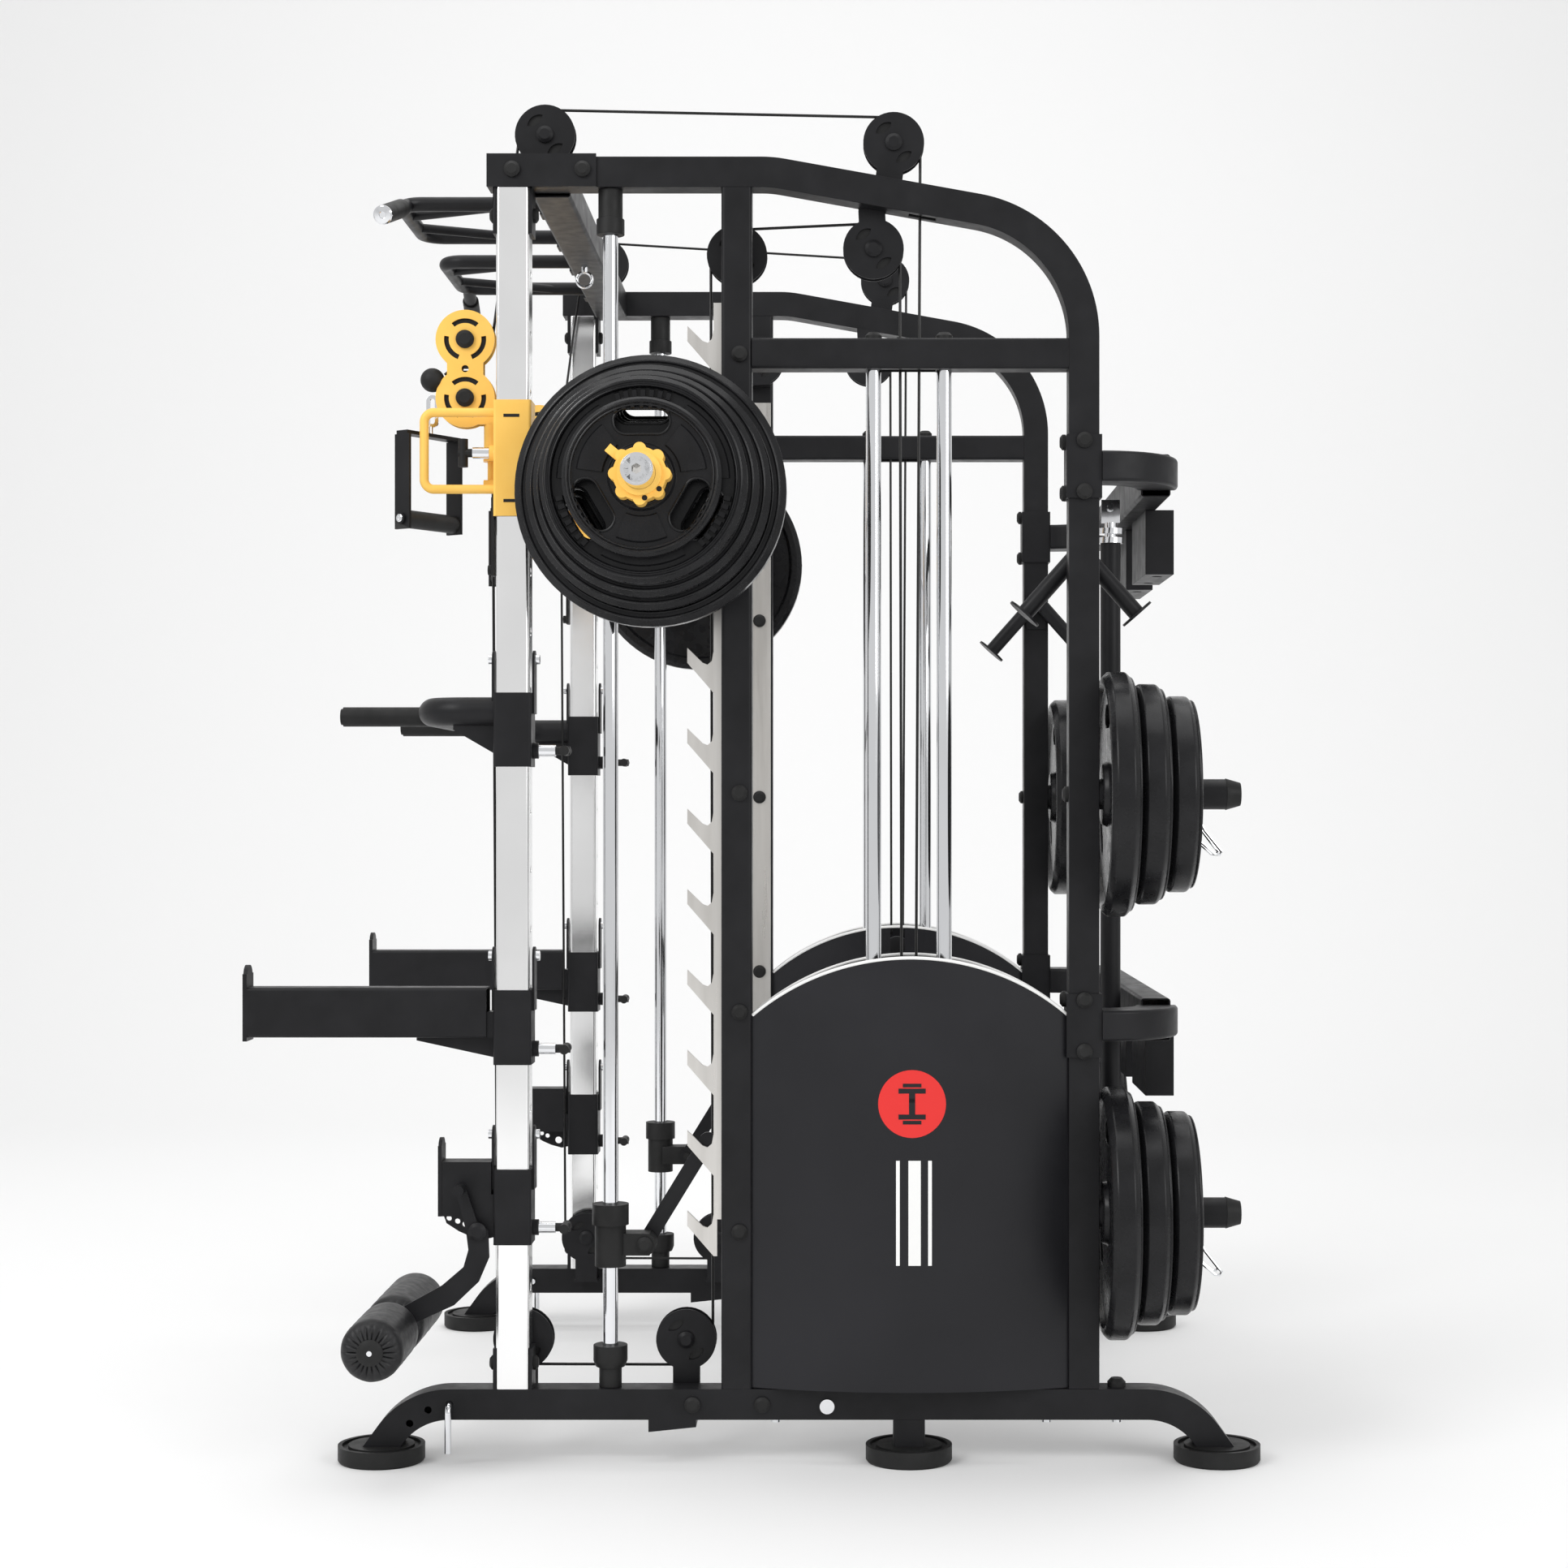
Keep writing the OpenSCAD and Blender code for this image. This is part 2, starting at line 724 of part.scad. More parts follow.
// Room for the plates of the lower rear clamp in a cover's rear edge.
module clamp_room() {
    box(inner_x - clamp_t - slip, outer_x + clamp_t + slip, rear_y - half - clamp_t - hair,
        rear_y, clamp_z[1] - clamp_h / 2 - slip, clamp_z[1] + clamp_h);
}

// The inner cover is two panels with an open way between them for the selector pin.
module shrouds() {
    color(black) both_sides() {
        difference() {
            cover(outer_x - 6, 43);
            clamp_room();
        }
        difference() {
            translate([2 * frame_x, 0, 0]) mirror([1, 0, 0]) cover(outer_x - 6, 36);
            box(inner_x - 60, inner_x + 4, stack_y - 15, stack_y + 15, cover_bottom - 1,
                cover_apex_z + 20);
            clamp_room();
        }
    }
}

// ---- cables ----
cable_turn = groove_r + cable_r + 0.35; // radius of a cable's centre on a wheel
block_y = -434.6;                 // swivel axis of the pulley block, along the cables
block_wheel_y = block_y - cable_turn;
block_wheel_z = [1848, 1751];

function on_wheel(p, a) = p + [0, cable_turn * cos(a), cable_turn * sin(a)];

// Points of a cable round a wheel at p from angle a0 to a1, 0 towards +Y and 90 up.
function wrap(p, a0, a1) =
    let (n = ceil(abs(a1 - a0) / 10))
    [for (i = [0:n]) on_wheel(p, a0 + (a1 - a0) * i / n)];

high_end = head_wheel_z + 28;
high_route = concat(
    [[cable_x, block_y, block_wheel_z[0] + 2]],
    wrap(front_top, 180, 90),
    wrap(rear_top, 90, 0),
    [[frame_x, stack_y + 12, high_end]]);
low_route = concat(
    [[cable_x, block_y, block_wheel_z[1] - 2]],
    wrap(front_low, 180, 270),
    wrap(mid_low, 270, 360),
    wrap(mid_top, 180, 90),
    wrap(rail_low, 90, 0),
    [[frame_x, stack_y - 12, high_end]]);

module cables() {
    color(rubber) both_sides() {
        cord(high_route, cable_r);
        cord(low_route, cable_r);
    }
}

// ---- pulley wheels ----
module wheel_profile(bore) {
    t = wheel_t / 2;
    polygon([[bore, -t], [wheel_r, -t], [wheel_r, -4.5], [groove_r, -3.2], [groove_r, 3.2],
             [wheel_r, 4.5], [wheel_r, t], [bore, t]]);
}

module wheel(p) {
    translate(p) rotate([0, 90, 0])
        rotate_extrude($fn = 64) wheel_profile(axle_r + 0.05);
}

module wheel_pair(p) {
    color(rubber) both_sides() wheel(p);
}

module front_top_wheels() { wheel_pair(front_top); }
module rear_top_wheels() { wheel_pair(rear_top); }
module mid_post_wheels() { wheel_pair(mid_top); }
module rail_wheels() { wheel_pair(rail_low); }
module front_low_wheels() { wheel_pair(front_low); }
module mid_low_wheels() { wheel_pair(mid_low); }

// ---- storage at the rear ----
peg_r = 25;
peg_tip_y = 800;
stored_y = [572, 622, 672];
stored_t = 46;
stored_r = [[201, 181, 161], [206, 182, 166]];
rear_face_y = rear_y + half;

module flanged_peg(p, q) {
    rod_between(p, q, 14);
    d = (q - p) / norm(q - p);
    rod_between(q, q + 4 * d, 30);
}

module pegs() {
    color(black) both_sides() {
        for (z = peg_z) {
            rod_along_y(frame_x, z, rear_face_y, peg_tip_y - 24, peg_r);
            translate([frame_x, peg_tip_y - 24, z]) rotate([-90, 0, 0])
                cylinder(r1 = 26, r2 = 19, h = 24);
        }
        // V of two flanged accessory pegs on the inner side of the rear post.
        box(inner_x - 5, inner_x, rear_y - 20, rear_y + 20, 1440, 1510);
        flanged_peg([inner_x - 19, rear_y - 8, 1490], [inner_x - 19, rear_y - 92, 1395]);
        flanged_peg([inner_x - 19, rear_y + 8, 1490], [inner_x - 19, rear_y + 92, 1395]);
        rod_along_x(rear_y, 1490, inner_x - 33, inner_x - 5, 15);
    }
}

hand_half = 19;                   // half height of a hand hole
hand_run = 24;                    // from its middle to the centre of its round end

// Rubber plate with a bore, rims, hub and three hand holes, axis along +z from z = 0.
module grip_plate(r, t, bore) {
    hub = max(bore + 24, 0.22 * r);
    web = 0.88 * r;
    slot_mid = 0.55 * r + 17.8;   // hand holes keep their size, further out on larger plates
    difference() {
        rotate_extrude($fn = 96) polygon([
            [bore, 0], [hub, 0], [hub + 4, t * 0.22], [web, t * 0.22], [web + 5, 0],
            [r - t * 0.2, 0], [r, t * 0.2], [r, t * 0.8], [r - t * 0.2, t], [web + 5, t],
            [web, t * 0.78], [hub + 4, t * 0.78], [hub, t], [bore, t]]);
        for (a = [90, 210, 330])
            rotate(a) translate([slot_mid, 0, -1]) linear_extrude(t + 2) {
                translate([-hand_half, -hand_run]) square([2 * hand_half, 2 * hand_run]);
                for (s = [-1, 1]) translate([0, s * hand_run]) circle(hand_half);
            }
    }
}

module stored_plates() {
    color(rubber) both_sides()
        for (i = [0:1])
            for (k = [0:2])
                translate([frame_x, stored_y[k] + stored_t, peg_z[i]]) rotate([90, 0, 0])
                    grip_plate(stored_r[i][k], stored_t, peg_r + 0.5);
}

hang_x = 330;
hang_y = 611;
hang_top = 1530;

module hanging_bar() {
    color(black) {
        rod_along_z(hang_x, hang_y, 380, hang_top, 17.5);
        for (z = [hang_top, hang_top + 16]) rod_along_z(hang_x, hang_y, z, z + 10, 22);
        rod_along_z(hang_x, hang_y, hang_top + 10, 1566, 10);
        difference() {
            box(hang_x - 3, hang_x + 3, hang_y - 16, hang_y + 16, 1566, 1606);
            rod_along_x(hang_y, 1592, hang_x - 9, hang_x + 9, 6.1);
        }
    }
}

// ---- bright bolts, pins, hooks and clips ----
band_pin_r = 5.5;

module band_pin() {
    translate([inner_x - 10, band_holes[0][0], band_holes[0][1]]) rotate([0, 90, 0])
        rotate(-90) sweep([[tube + 14, 90, 12], [64, 0, 0]]) circle(band_pin_r);
}

module spring_clip(z) {
    y = stored_y[2] + stored_t + 8;
    difference() {
        rod_along_y(frame_x, z, y - 5, y + 5, peg_r + 4);
        rod_along_y(frame_x, z, y - 6, y + 6, peg_r + hair);
    }
    for (s = [-1, 1])
        cord([[frame_x + s * 13, y, z - 30], [frame_x + s * 18, y + 14, z - 60],
              [frame_x + s * 22, y + 36, z - 88], [frame_x + s * 22, y + 41, z - 94],
              [frame_x + s * 22, y + 38, z - 99], [frame_x + s * 22, y + 30, z - 98],
              [frame_x + s * 22, y + 2, z - 74]], 2.5);
}

module bright_hardware() {
    color(bright) {
        both_sides() {
            band_pin();
            for (z = peg_z) spring_clip(z);
            // Cup bolt on the base rail and nuts under it.
            rod_along_x(122, base_z - 2, outer_x, outer_x + 8, 12);
            for (y = [37, 482, 597]) rod_along_z(frame_x, y, base_bottom - 8, base_bottom, 8);
        }
        // Hook under the front crossbeam.
        rod_along_z(0, beam_front_y, 2066, top_z - 31, 6);
        translate([0, beam_front_y, 2052]) rotate([0, 90, 0])
            rotate_extrude() translate([14, 0]) circle(3, $fn = 16);
        // Bracket pin that the stored bar hangs from.
        rod_along_x(hang_y, 1592, hang_x - 14, hang_x + 14, 6);
    }
}

// ---- guided bar ----
bar_r = 14;
run_gap = 0.05;                   // radial clearance of a shaft in its bearing
slider_half = 60;
housing_x = [558, 602];
sleeve_x0 = 620;

module bar_sliders() {
    color(black) both_sides()
        difference() {
            union() {
                rod_along_z(frame_x, rod_y, bar_z - slider_half, bar_z + slider_half, 26);
                box(housing_x[0], housing_x[1], rod_y + 6, bar_y, bar_z - 24, bar_z + 24);
                rod_along_x(bar_y, bar_z, housing_x[0], housing_x[1], 24);
            }
            rod_along_z(frame_x, rod_y, bar_z - slider_half - 1, bar_z + slider_half + 1,
                rod_r + 0.3);
            rod_along_x(bar_y, bar_z, housing_x[0] - 1, housing_x[1] + 1, bar_r + run_gap);
        }
}

hook_rest = 60;                   // the hooks rest turned this far away from the teeth
nib = [79.5, 91.5];               // inner and outer radius of the hook's nib

module bar_hook() {
    translate([rack_x0, bar_y, bar_z]) rotate([90, 0, 90]) rotate(hook_rest)
        linear_extrude(inner_x - rack_x0) {
            difference() {
                circle(nib[1], $fn = 64);
                circle(nib[0], $fn = 64);
                rotate(64) translate([-100, 0]) square([200, 100]);
                rotate(-2) translate([-100, -100]) square([200, 100]);
            }
            difference() {
                circle(nib[1] - 1, $fn = 64);
                rotate(62) translate([-100, 0]) square([200, 100]);
                rotate(38) translate([-100, -100]) square([200, 100]);
            }
            circle(23);
        }
}

module smith_bar() {
    color(bright) {
        rod_along_x(bar_y, bar_z, -sleeve_x0, sleeve_x0, bar_r);
        both_sides() {
            rod_along_x(bar_y, bar_z, sleeve_x0, bar_half - 3, sleeve_r);
            rod_along_x(bar_y, bar_z, bar_half - 3, bar_half, sleeve_r - 3);
            rod_along_x(bar_y, bar_z, 606, sleeve_x0, 36);
            difference() {
                bar_hook();
                rod_along_x(bar_y, bar_z, rack_x0 - 1, inner_x + 1, bar_r - 1);
            }
        }
    }
}

loaded = [[218.5, 643, 46], [195, 690, 46], [178, 737, 46], [161.5, 793, 47], [123.5, 841, 28]];

module bar_plates() {
    color(rubber) both_sides()
        for (p = loaded)
            translate([p[1], bar_y, bar_z]) rotate([90, 0, 90])
                grip_plate(p[0], p[2], sleeve_r + 0.4);
}

collar_x = 871;
collar_t = 34;
lobes = 8;

module bar_collars() {
    color(yellow) both_sides()
        translate([collar_x, bar_y, bar_z]) rotate([90, 0, 90]) {
            linear_extrude(collar_t) difference() {
                union() {
                    circle(41);
                    for (i = [0:lobes - 1]) rotate(i * 360 / lobes) translate([38, 0]) circle(10);
                }
                circle(sleeve_r + 0.2);
            }
            translate([0, 0, collar_t]) linear_extrude(8) difference() {
                circle(34);
                circle(sleeve_r + 0.2);
            }
            // Lever of the clamp.
            rotate(140) translate([43, -7, 10]) cube([22, 14, 12]);
        }
}

// ---- safety stops on the guide rods ----
stop_z = [320, 388, 422];         // bottom, ring and top
pivot = [-177, 356];
link_end = [-76, 521];
link_x = 541;
link_t = 6;

module safety_stop(name) {
    color(rubber) side(name) {
        difference() {
            union() {
                rod_along_z(frame_x, rod_y, stop_z[0], stop_z[1], 25.5);
                rod_along_z(frame_x, rod_y, stop_z[1], stop_z[2], 30);
                box(link_x + link_t + 1, frame_x + 12, rod_y + 6, pivot[0] + 8,
                    pivot[1] - 18, pivot[1] + 18);
                rod_along_x(pivot[0], pivot[1], link_x + link_t + 1, frame_x + 12, 18);
            }
            rod_along_z(frame_x, rod_y, stop_z[0] - 1, stop_z[2] + 1, rod_r + 0.3);
        }
        rod_along_x(pivot[0], pivot[1], link_x - 3, link_x + link_t + 1, 7);
        cap_out(frame_x + 12, pivot[0], pivot[1], 13, 9);
    }
}

module stop_link(name) {
    d = link_end - pivot;
    color(black) side(name) {
        difference() {
            translate([link_x, 0, 0]) rotate([90, 0, 90]) linear_extrude(link_t) {
                translate(pivot) circle(15);
                translate(link_end) circle(14);
                translate(pivot) rotate(atan2(d[1], d[0])) translate([0, -13])
                    square([norm(d), 26]);
            }
            rod_along_x(pivot[0], pivot[1], link_x - 1, link_x + link_t + 1, 7 + run_gap);
        }
        rod_along_x(link_end[0], link_end[1], link_x - 5, link_x, 9);
    }
}

// ---- carriages on the front posts ----
sleeve_half = sleeve_w / 2;
sleeve_front = front_y - sleeve_half;
sleeve_rear = front_y + sleeve_half;
tongue_t = 4;
tongue_rise = 70;
plunger_bore = 5;
dip_z = [1139, 1260];
spotter_z = [652, 774];
hook_z = [358, 481];
trainer_z = [1548, 1738];
spotter_plunger_z = plunger_z + 3 * hole_pitch;
dip_plunger_z = plunger_z + 8 * hole_pitch;
trainer_plunger_z = plunger_z + 13 * hole_pitch;
nut_t = 9;

// Square sleeve with a bore for its plunger on the rear (1) or the front (-1).
module post_sleeve(z, pz, face = 1) {
    wall_y = front_y + face * sleeve_half;
    difference() {
        union() {
            translate([frame_x, front_y, z[0]]) linear_extrude(z[1] - z[0])
                round_rect(sleeve_w, sleeve_w, 5);
            rod_along_y(frame_x, pz, face > 0 ? wall_y : wall_y - nut_t,
                face > 0 ? wall_y + nut_t : wall_y, 13);
        }
        translate([frame_x, front_y, z[0] - 1]) linear_extrude(z[1] - z[0] + 2)
            square(post + 2 * slip, center = true);
        rod_along_y(frame_x, pz, face > 0 ? front_y : wall_y - nut_t - 1,
            face > 0 ? wall_y + nut_t + 1 : front_y, plunger_bore + run_gap);
    }
}

module tongues(z) {
    for (face = [sleeve_front - tongue_t, sleeve_rear]) {
        box(frame_x - 17, frame_x + 17, face, face + tongue_t, z - 34, z + tongue_rise - 14);
        translate([frame_x, face, z + tongue_rise - 16]) rotate([-90, 0, 0])
            cylinder(r = 16, h = tongue_t);
    }
    rod_along_y(frame_x, z + 55, sleeve_front - tongue_t - 7, sleeve_front - tongue_t, 8);
    rod_along_y(frame_x, z + 55, sleeve_rear + tongue_t, sleeve_rear + tongue_t + 7, 8);
}

// Gusset plate under an arm: along y from the sleeve, standing in the plane of x.
module gusset(y, z0, z1) {
    plate_x(frame_x - 4, frame_x + 4, [[sleeve_front, z0], [sleeve_front, z1], [y, z1],
                                       [y, z1 - 8]]);
}

dip_tube_r = 23.5;
dip_arm_z = 1230;
dip_bend = 60;
dip_front = -534;
dip_in = 290;
dip_tip = -726;

module dip_arm(name) {
    color(black) side(name) {
        post_sleeve(dip_z, dip_plunger_z);
        tongues(dip_z[1]);
        translate([frame_x, sleeve_front, dip_arm_z]) rotate([90, -90, 0])
            sweep([[sleeve_front - dip_front - dip_bend, 90, dip_bend],
                   [frame_x - dip_bend - dip_in, 0, 0]])
                circle(dip_tube_r);
        rod_along_y(dip_in + 24, dip_arm_z, dip_tip + 4, dip_front - dip_tube_r + 12, 17);
        rod_along_y(dip_in + 24, dip_arm_z, dip_tip, dip_tip + 4, 14);
        gusset(-492, 1160, 1208);
    }
}

spotter_tip = -833;
spotter_arm_z = [696, 778];
spotter_plate_z = [690, 800];

module spotter_arm(name) {
    w = tube;
    h = spotter_arm_z[1] - spotter_arm_z[0];
    color(black) side(name) {
        post_sleeve(spotter_z, spotter_plunger_z);
        tongues(spotter_z[1]);
        tube_y(frame_x, (spotter_arm_z[0] + spotter_arm_z[1]) / 2, spotter_tip + 7,
            sleeve_front - tongue_t - 8, w, h);
        box(frame_x - 20, frame_x + 20, sleeve_front - tongue_t - 8, sleeve_front,
            spotter_arm_z[0], spotter_z[1] - 36);
        box(frame_x - half, frame_x + half, spotter_tip, spotter_tip + 7,
            spotter_plate_z[0], spotter_plate_z[1]);
        rod_along_y(frame_x, spotter_plate_z[1] - 6, spotter_tip, spotter_tip + 7, 20);
        plate_x(frame_x - 4, frame_x + 4, [[sleeve_front, 662], [sleeve_front, 696],
                                           [-552, 696], [-552, 690]]);
    }
}

hook_front = -514;
hook_floor = 404;
saddle_z = 493;
hook_lip_z = 531;
sector_holes = [[-496, 401], [-482, 396], [-470, 391]];
leg_pivot = [-447, 382];
pin_bore = 7;

module j_hook(name) {
    color(black) side(name) {
        post_sleeve(hook_z, plunger_z);
        tongues(hook_z[1]);
        for (x = [frame_x - 23, frame_x + 19])
            plate_x(x, x + 4, [[sleeve_front, hook_floor], [hook_front + 6, hook_floor],
                               [hook_front + 6, saddle_z - 8],
                               [sleeve_front - tongue_t, saddle_z - 8],
                               [sleeve_front - tongue_t, 440], [sleeve_front, 440]]);
        box(frame_x - 23, frame_x + 23, hook_front + 6, sleeve_front - tongue_t - 0.5,
            saddle_z - 8, saddle_z);
        box(frame_x - 24, frame_x + 24, hook_front, hook_front + 6, hook_floor, hook_lip_z - 12);
        rod_along_y(frame_x, hook_lip_z - 20, hook_front, hook_front + 6, 20);
        difference() {
            plate_x(frame_x + 17, frame_x + 23, [[-504, hook_floor], [-500, 393], [-480, 380],
                [-462, 372], [-440, 366], [sleeve_front, 370], [sleeve_front, hook_floor]]);
            for (h = sector_holes) rod_along_x(h[0], h[1], frame_x, frame_x + 40, 4.5);
            rod_along_x(leg_pivot[0], leg_pivot[1], frame_x, frame_x + 40, pin_bore + run_gap);
        }
    }
}

handle_front = -540;
handle_z = [1595, 1721];
handle_r = 7.5;
handle_bend = 16;
lug_z = [1604, 1646];
lug_t = 10;
swivel_r = 8;

module trainer_carriage(name) {
    color(yellow) side(name) {
        post_sleeve(trainer_z, trainer_plunger_z, -1);
        // C-shaped handle in front of the sleeve.
        run = sleeve_front - handle_front - handle_bend;
        translate([frame_x, sleeve_front, handle_z[1]]) rotate([90, 0, 0])
            sweep([[run, -90, handle_bend],
                   [handle_z[1] - handle_z[0] - 2 * handle_bend, -90, handle_bend],
                   [run, 0, 0]])
                circle(handle_r);
        // Two lugs that hold the swivel of the pulley block.
        for (z = lug_z)
            difference() {
                union() {
                    box(cable_x, frame_x - sleeve_half, block_y - 12, front_y - 10, z, z + lug_t);
                    rod_along_z(cable_x, block_y, z, z + lug_t, 15);
                }
                rod_along_z(cable_x, block_y, z - 1, z + lug_t + 1, swivel_r + run_gap);
            }
        // Dark tongue below the sleeve with its bolt.
        box(frame_x - 17, frame_x + 17, sleeve_front - 5, sleeve_front, 1452, 1580);
        rod_along_y(frame_x, 1462, sleeve_front - 12, sleeve_front - 5, 8);
    }
}

ball_at = [cable_x, -534, 1782];
ball_r = 20;
block_r = 49;

module arc_slots() {
    for (a = [90, 210, 330])
        rotate(a) difference() {
            circle(35);
            circle(27);
            rotate(40) translate([-50, 0]) square(100);
            rotate(-40) translate([-50, -100]) square(100);
            translate([-60, -50]) square([60, 100]);
        }
}

module block_cheek() {
    difference() {
        union() {
            for (z = block_wheel_z) translate([block_wheel_y, z]) circle(block_r);
            translate([block_wheel_y - 30, block_wheel_z[1]])
                square([60, block_wheel_z[0] - block_wheel_z[1]]);
            translate([block_wheel_y, block_wheel_z[1] - 44]) square([52, 30]);
        }
        for (z = block_wheel_z) translate([block_wheel_y, z]) arc_slots();
        translate([block_wheel_y, (block_wheel_z[0] + block_wheel_z[1]) / 2]) circle(6);
    }
}

exit_turn = 110;                  // how far a cable goes round a block wheel

module pulley_block(name) {
    foot_z = block_wheel_z[1] - 44;
    color(yellow) side(name) {
        for (x = [cable_x + cheek_gap, cable_x - cheek_gap - cheek_t])
            translate([x, 0, 0]) rotate([90, 0, 90]) linear_extrude(cheek_t) block_cheek();
        // Hollow swivel: the low cable runs up through it.
        ring_z(cable_x, block_y, lug_z[0] - 6, foot_z + 6, swivel_r, 4.2);
        ring_z(cable_x, block_y, lug_z[1] + lug_t + 1, foot_z, 14, swivel_r);
        ring_z(cable_x, block_y, lug_z[0] - 6, lug_z[0] - 1, 13, swivel_r);
        difference() {
            box(cable_x - cheek_gap, cable_x + cheek_gap, block_y - 14, block_y + 8,
                foot_z - 0, foot_z + 6);
            rod_along_z(cable_x, block_y, foot_z - 1, foot_z + 7, swivel_r);
        }
        for (i = [0, 1]) {
            p = [cable_x, block_wheel_y, block_wheel_z[i]];
            wheel(p);
            rod_along_x(p[1], p[2], cable_x - cheek_gap, cable_x + cheek_gap, axle_r);
            cap_out(cable_x + cheek_gap + cheek_t, p[1], p[2], 15, 9);
            translate([2 * cable_x, 0, 0]) mirror([1, 0, 0])
                cap_out(cable_x + cheek_gap + cheek_t, p[1], p[2], 15, 9);
        }
        upper = [cable_x, block_wheel_y, block_wheel_z[0]];
        lower = [cable_x, block_wheel_y, block_wheel_z[1]];
        cord(concat(wrap(upper, 0, -exit_turn), [ball_at + [0, ball_r, 9]]), cable_r);
        cord(concat(wrap(lower, 0, exit_turn), [ball_at + [0, ball_r, 2]]), cable_r);
        translate(ball_at) sphere(ball_r);
    }
}

hang_z = 1757;                    // top of the link below the ball
clip_half = 7;
clip_drop = 44;
grip_at_z = 1547;
grip_half = 62;
grip_turn = -34;
stirrup_top = 1692;

module stadium(r) {
    for (z = [hang_z - 10, hang_z - clip_drop]) translate([ball_at[1], z]) circle(r);
    translate([ball_at[1] - r, hang_z - clip_drop]) square([2 * r, clip_drop - 10]);
}

module d_handle(name) {
    color(black) side(name) {
        // Flat snap link: a stadium ring.
        translate([cable_x - 3, 0, 0]) rotate([90, 0, 90]) linear_extrude(6) difference() {
            stadium(clip_half + 3);
            stadium(clip_half - 3);
        }
        translate([cable_x, ball_at[1] - 6, 0]) rotate(grip_turn) {
            for (s = [-1, 1])
                box(s * grip_half - 2.5, s * grip_half + 2.5, -16, 16, grip_at_z - 17,
                    stirrup_top - 6);
            box(-grip_half - 2.5, grip_half + 2.5, -12, 12, stirrup_top - 6, stirrup_top);
            rod_along_x(0, grip_at_z, -grip_half + 2.5, grip_half - 2.5, 15);
            for (s = [-1, 1])
                rod_along_x(0, grip_at_z, s * (grip_half + 5) - 2.5, s * (grip_half + 5) + 2.5, 9);
        }
        rod_along_z(cable_x, ball_at[1] - 4, stirrup_top, hang_z - clip_drop - 8, 5);
    }
}

// ---- plungers ----
module plunger(pz, face) {
    wall_y = front_y + face * sleeve_half;
    tip = front_y + face * (post / 2 + slip + 0.2);
    translate([frame_x, 0, pz]) rotate([-90 * face, 0, 0]) translate([0, 0, face * tip]) {
        outer = face * (wall_y - tip);
        cylinder(r = plunger_bore, h = outer + nut_t + 1);
        translate([0, 0, outer + nut_t + 1]) cylinder(r = 9.5, h = 27);
        translate([0, 0, outer + nut_t + 28]) cylinder(r = 7, h = 24);
        translate([0, 0, outer + nut_t + 44]) rotate(face > 0 ? [0, 90, 0] : [90, 0, 0])
            cylinder(r = 8, h = 46, center = true);
    }
}

module trainer_plunger(name) { color(rubber) side(name) plunger(trainer_plunger_z, -1); }
module dip_plunger(name) { color(rubber) side(name) plunger(dip_plunger_z, 1); }
module spotter_plunger(name) { color(rubber) side(name) plunger(spotter_plunger_z, 1); }
module j_hook_plunger(name) { color(rubber) side(name) plunger(plunger_z, 1); }

// ---- leg roller attachment ----
axle_at = [-588, 223];
arm_x = 614;
arm_t = 6;
roller_axle_r = 9;
roller_r = 50;
roller_inner = [350, 606];
roller_outer = [628, 815];

module leg_roller_arm() {
    color(black) {
        plate_x(arm_x, arm_x + arm_t, [
            [-430, 384], [-428, 340], [-445, 300], [-485, 262], [-545, 235], [-580, 206],
            [-602, 212], [-604, 236], [-560, 264], [-505, 294], [-470, 324], [-462, 352],
            [-466, 384], [-482, 446], [-466, 452], [-448, 398]]);
        rod_along_x(leg_pivot[0], leg_pivot[1], frame_x + 12, arm_x, pin_bore);
        cap_out(arm_x + arm_t, leg_pivot[0], leg_pivot[1], 15, 9);
        rod_along_x(-474, 452, arm_x, arm_x + 40, 9);
        rod_along_x(axle_at[0], axle_at[1], roller_inner[0] - 8, roller_outer[1] + 4,
            roller_axle_r);
    }
}

module foam_rollers() {
    color(rubber) difference() {
        for (x = [roller_inner, roller_outer])
            rod_along_x(axle_at[0], axle_at[1], x[0], x[1], roller_r);
        rod_along_x(axle_at[0], axle_at[1], 0, 900, roller_axle_r + run_gap);
    }
}

// ---- drawing ----
base_rails();
top_rails();
stack_frames();
front_posts();
feet_and_caps();
crossbeams();
pull_up_bar();
pull_up_grips();
brackets();
bar_storage_boxes();
bright_hardware();
guide_rods();
rod_collars();
catch_racks();
weight_stacks();
shrouds();
cables();
pegs();
stored_plates();
hanging_bar();
stack_head("right");  // stack_head_right
stack_head("left");  // stack_head_left
selector_pin("right");  // selector_pin_right
selector_pin("left");  // selector_pin_left
front_top_wheels();
rear_top_wheels();
mid_post_wheels();
rail_wheels();
front_low_wheels();
mid_low_wheels();
trainer_carriage("right");  // trainer_carriage_right
trainer_carriage("left");  // trainer_carriage_left
pulley_block("right");  // pulley_block_right
pulley_block("left");  // pulley_block_left
d_handle("right");  // d_handle_right
d_handle("left");  // d_handle_left
bar_sliders();
smith_bar();
bar_plates();
bar_collars();
safety_stop("right");  // safety_stop_right
safety_stop("left");  // safety_stop_left
stop_link("right");  // stop_link_right
stop_link("left");  // stop_link_left
dip_arm("right");  // dip_arm_right
dip_arm("left");  // dip_arm_left
spotter_arm("right");  // spotter_arm_right
spotter_arm("left");  // spotter_arm_left
j_hook("right");  // j_hook_right
j_hook("left");  // j_hook_left
trainer_plunger("right");  // trainer_plunger_right
trainer_plunger("left");  // trainer_plunger_left
dip_plunger("right");  // dip_plunger_right
dip_plunger("left");  // dip_plunger_left
spotter_plunger("right");  // spotter_plunger_right
spotter_plunger("left");  // spotter_plunger_left
j_hook_plunger("right");  // j_hook_plunger_right
j_hook_plunger("left");  // j_hook_plunger_left
leg_roller_arm();
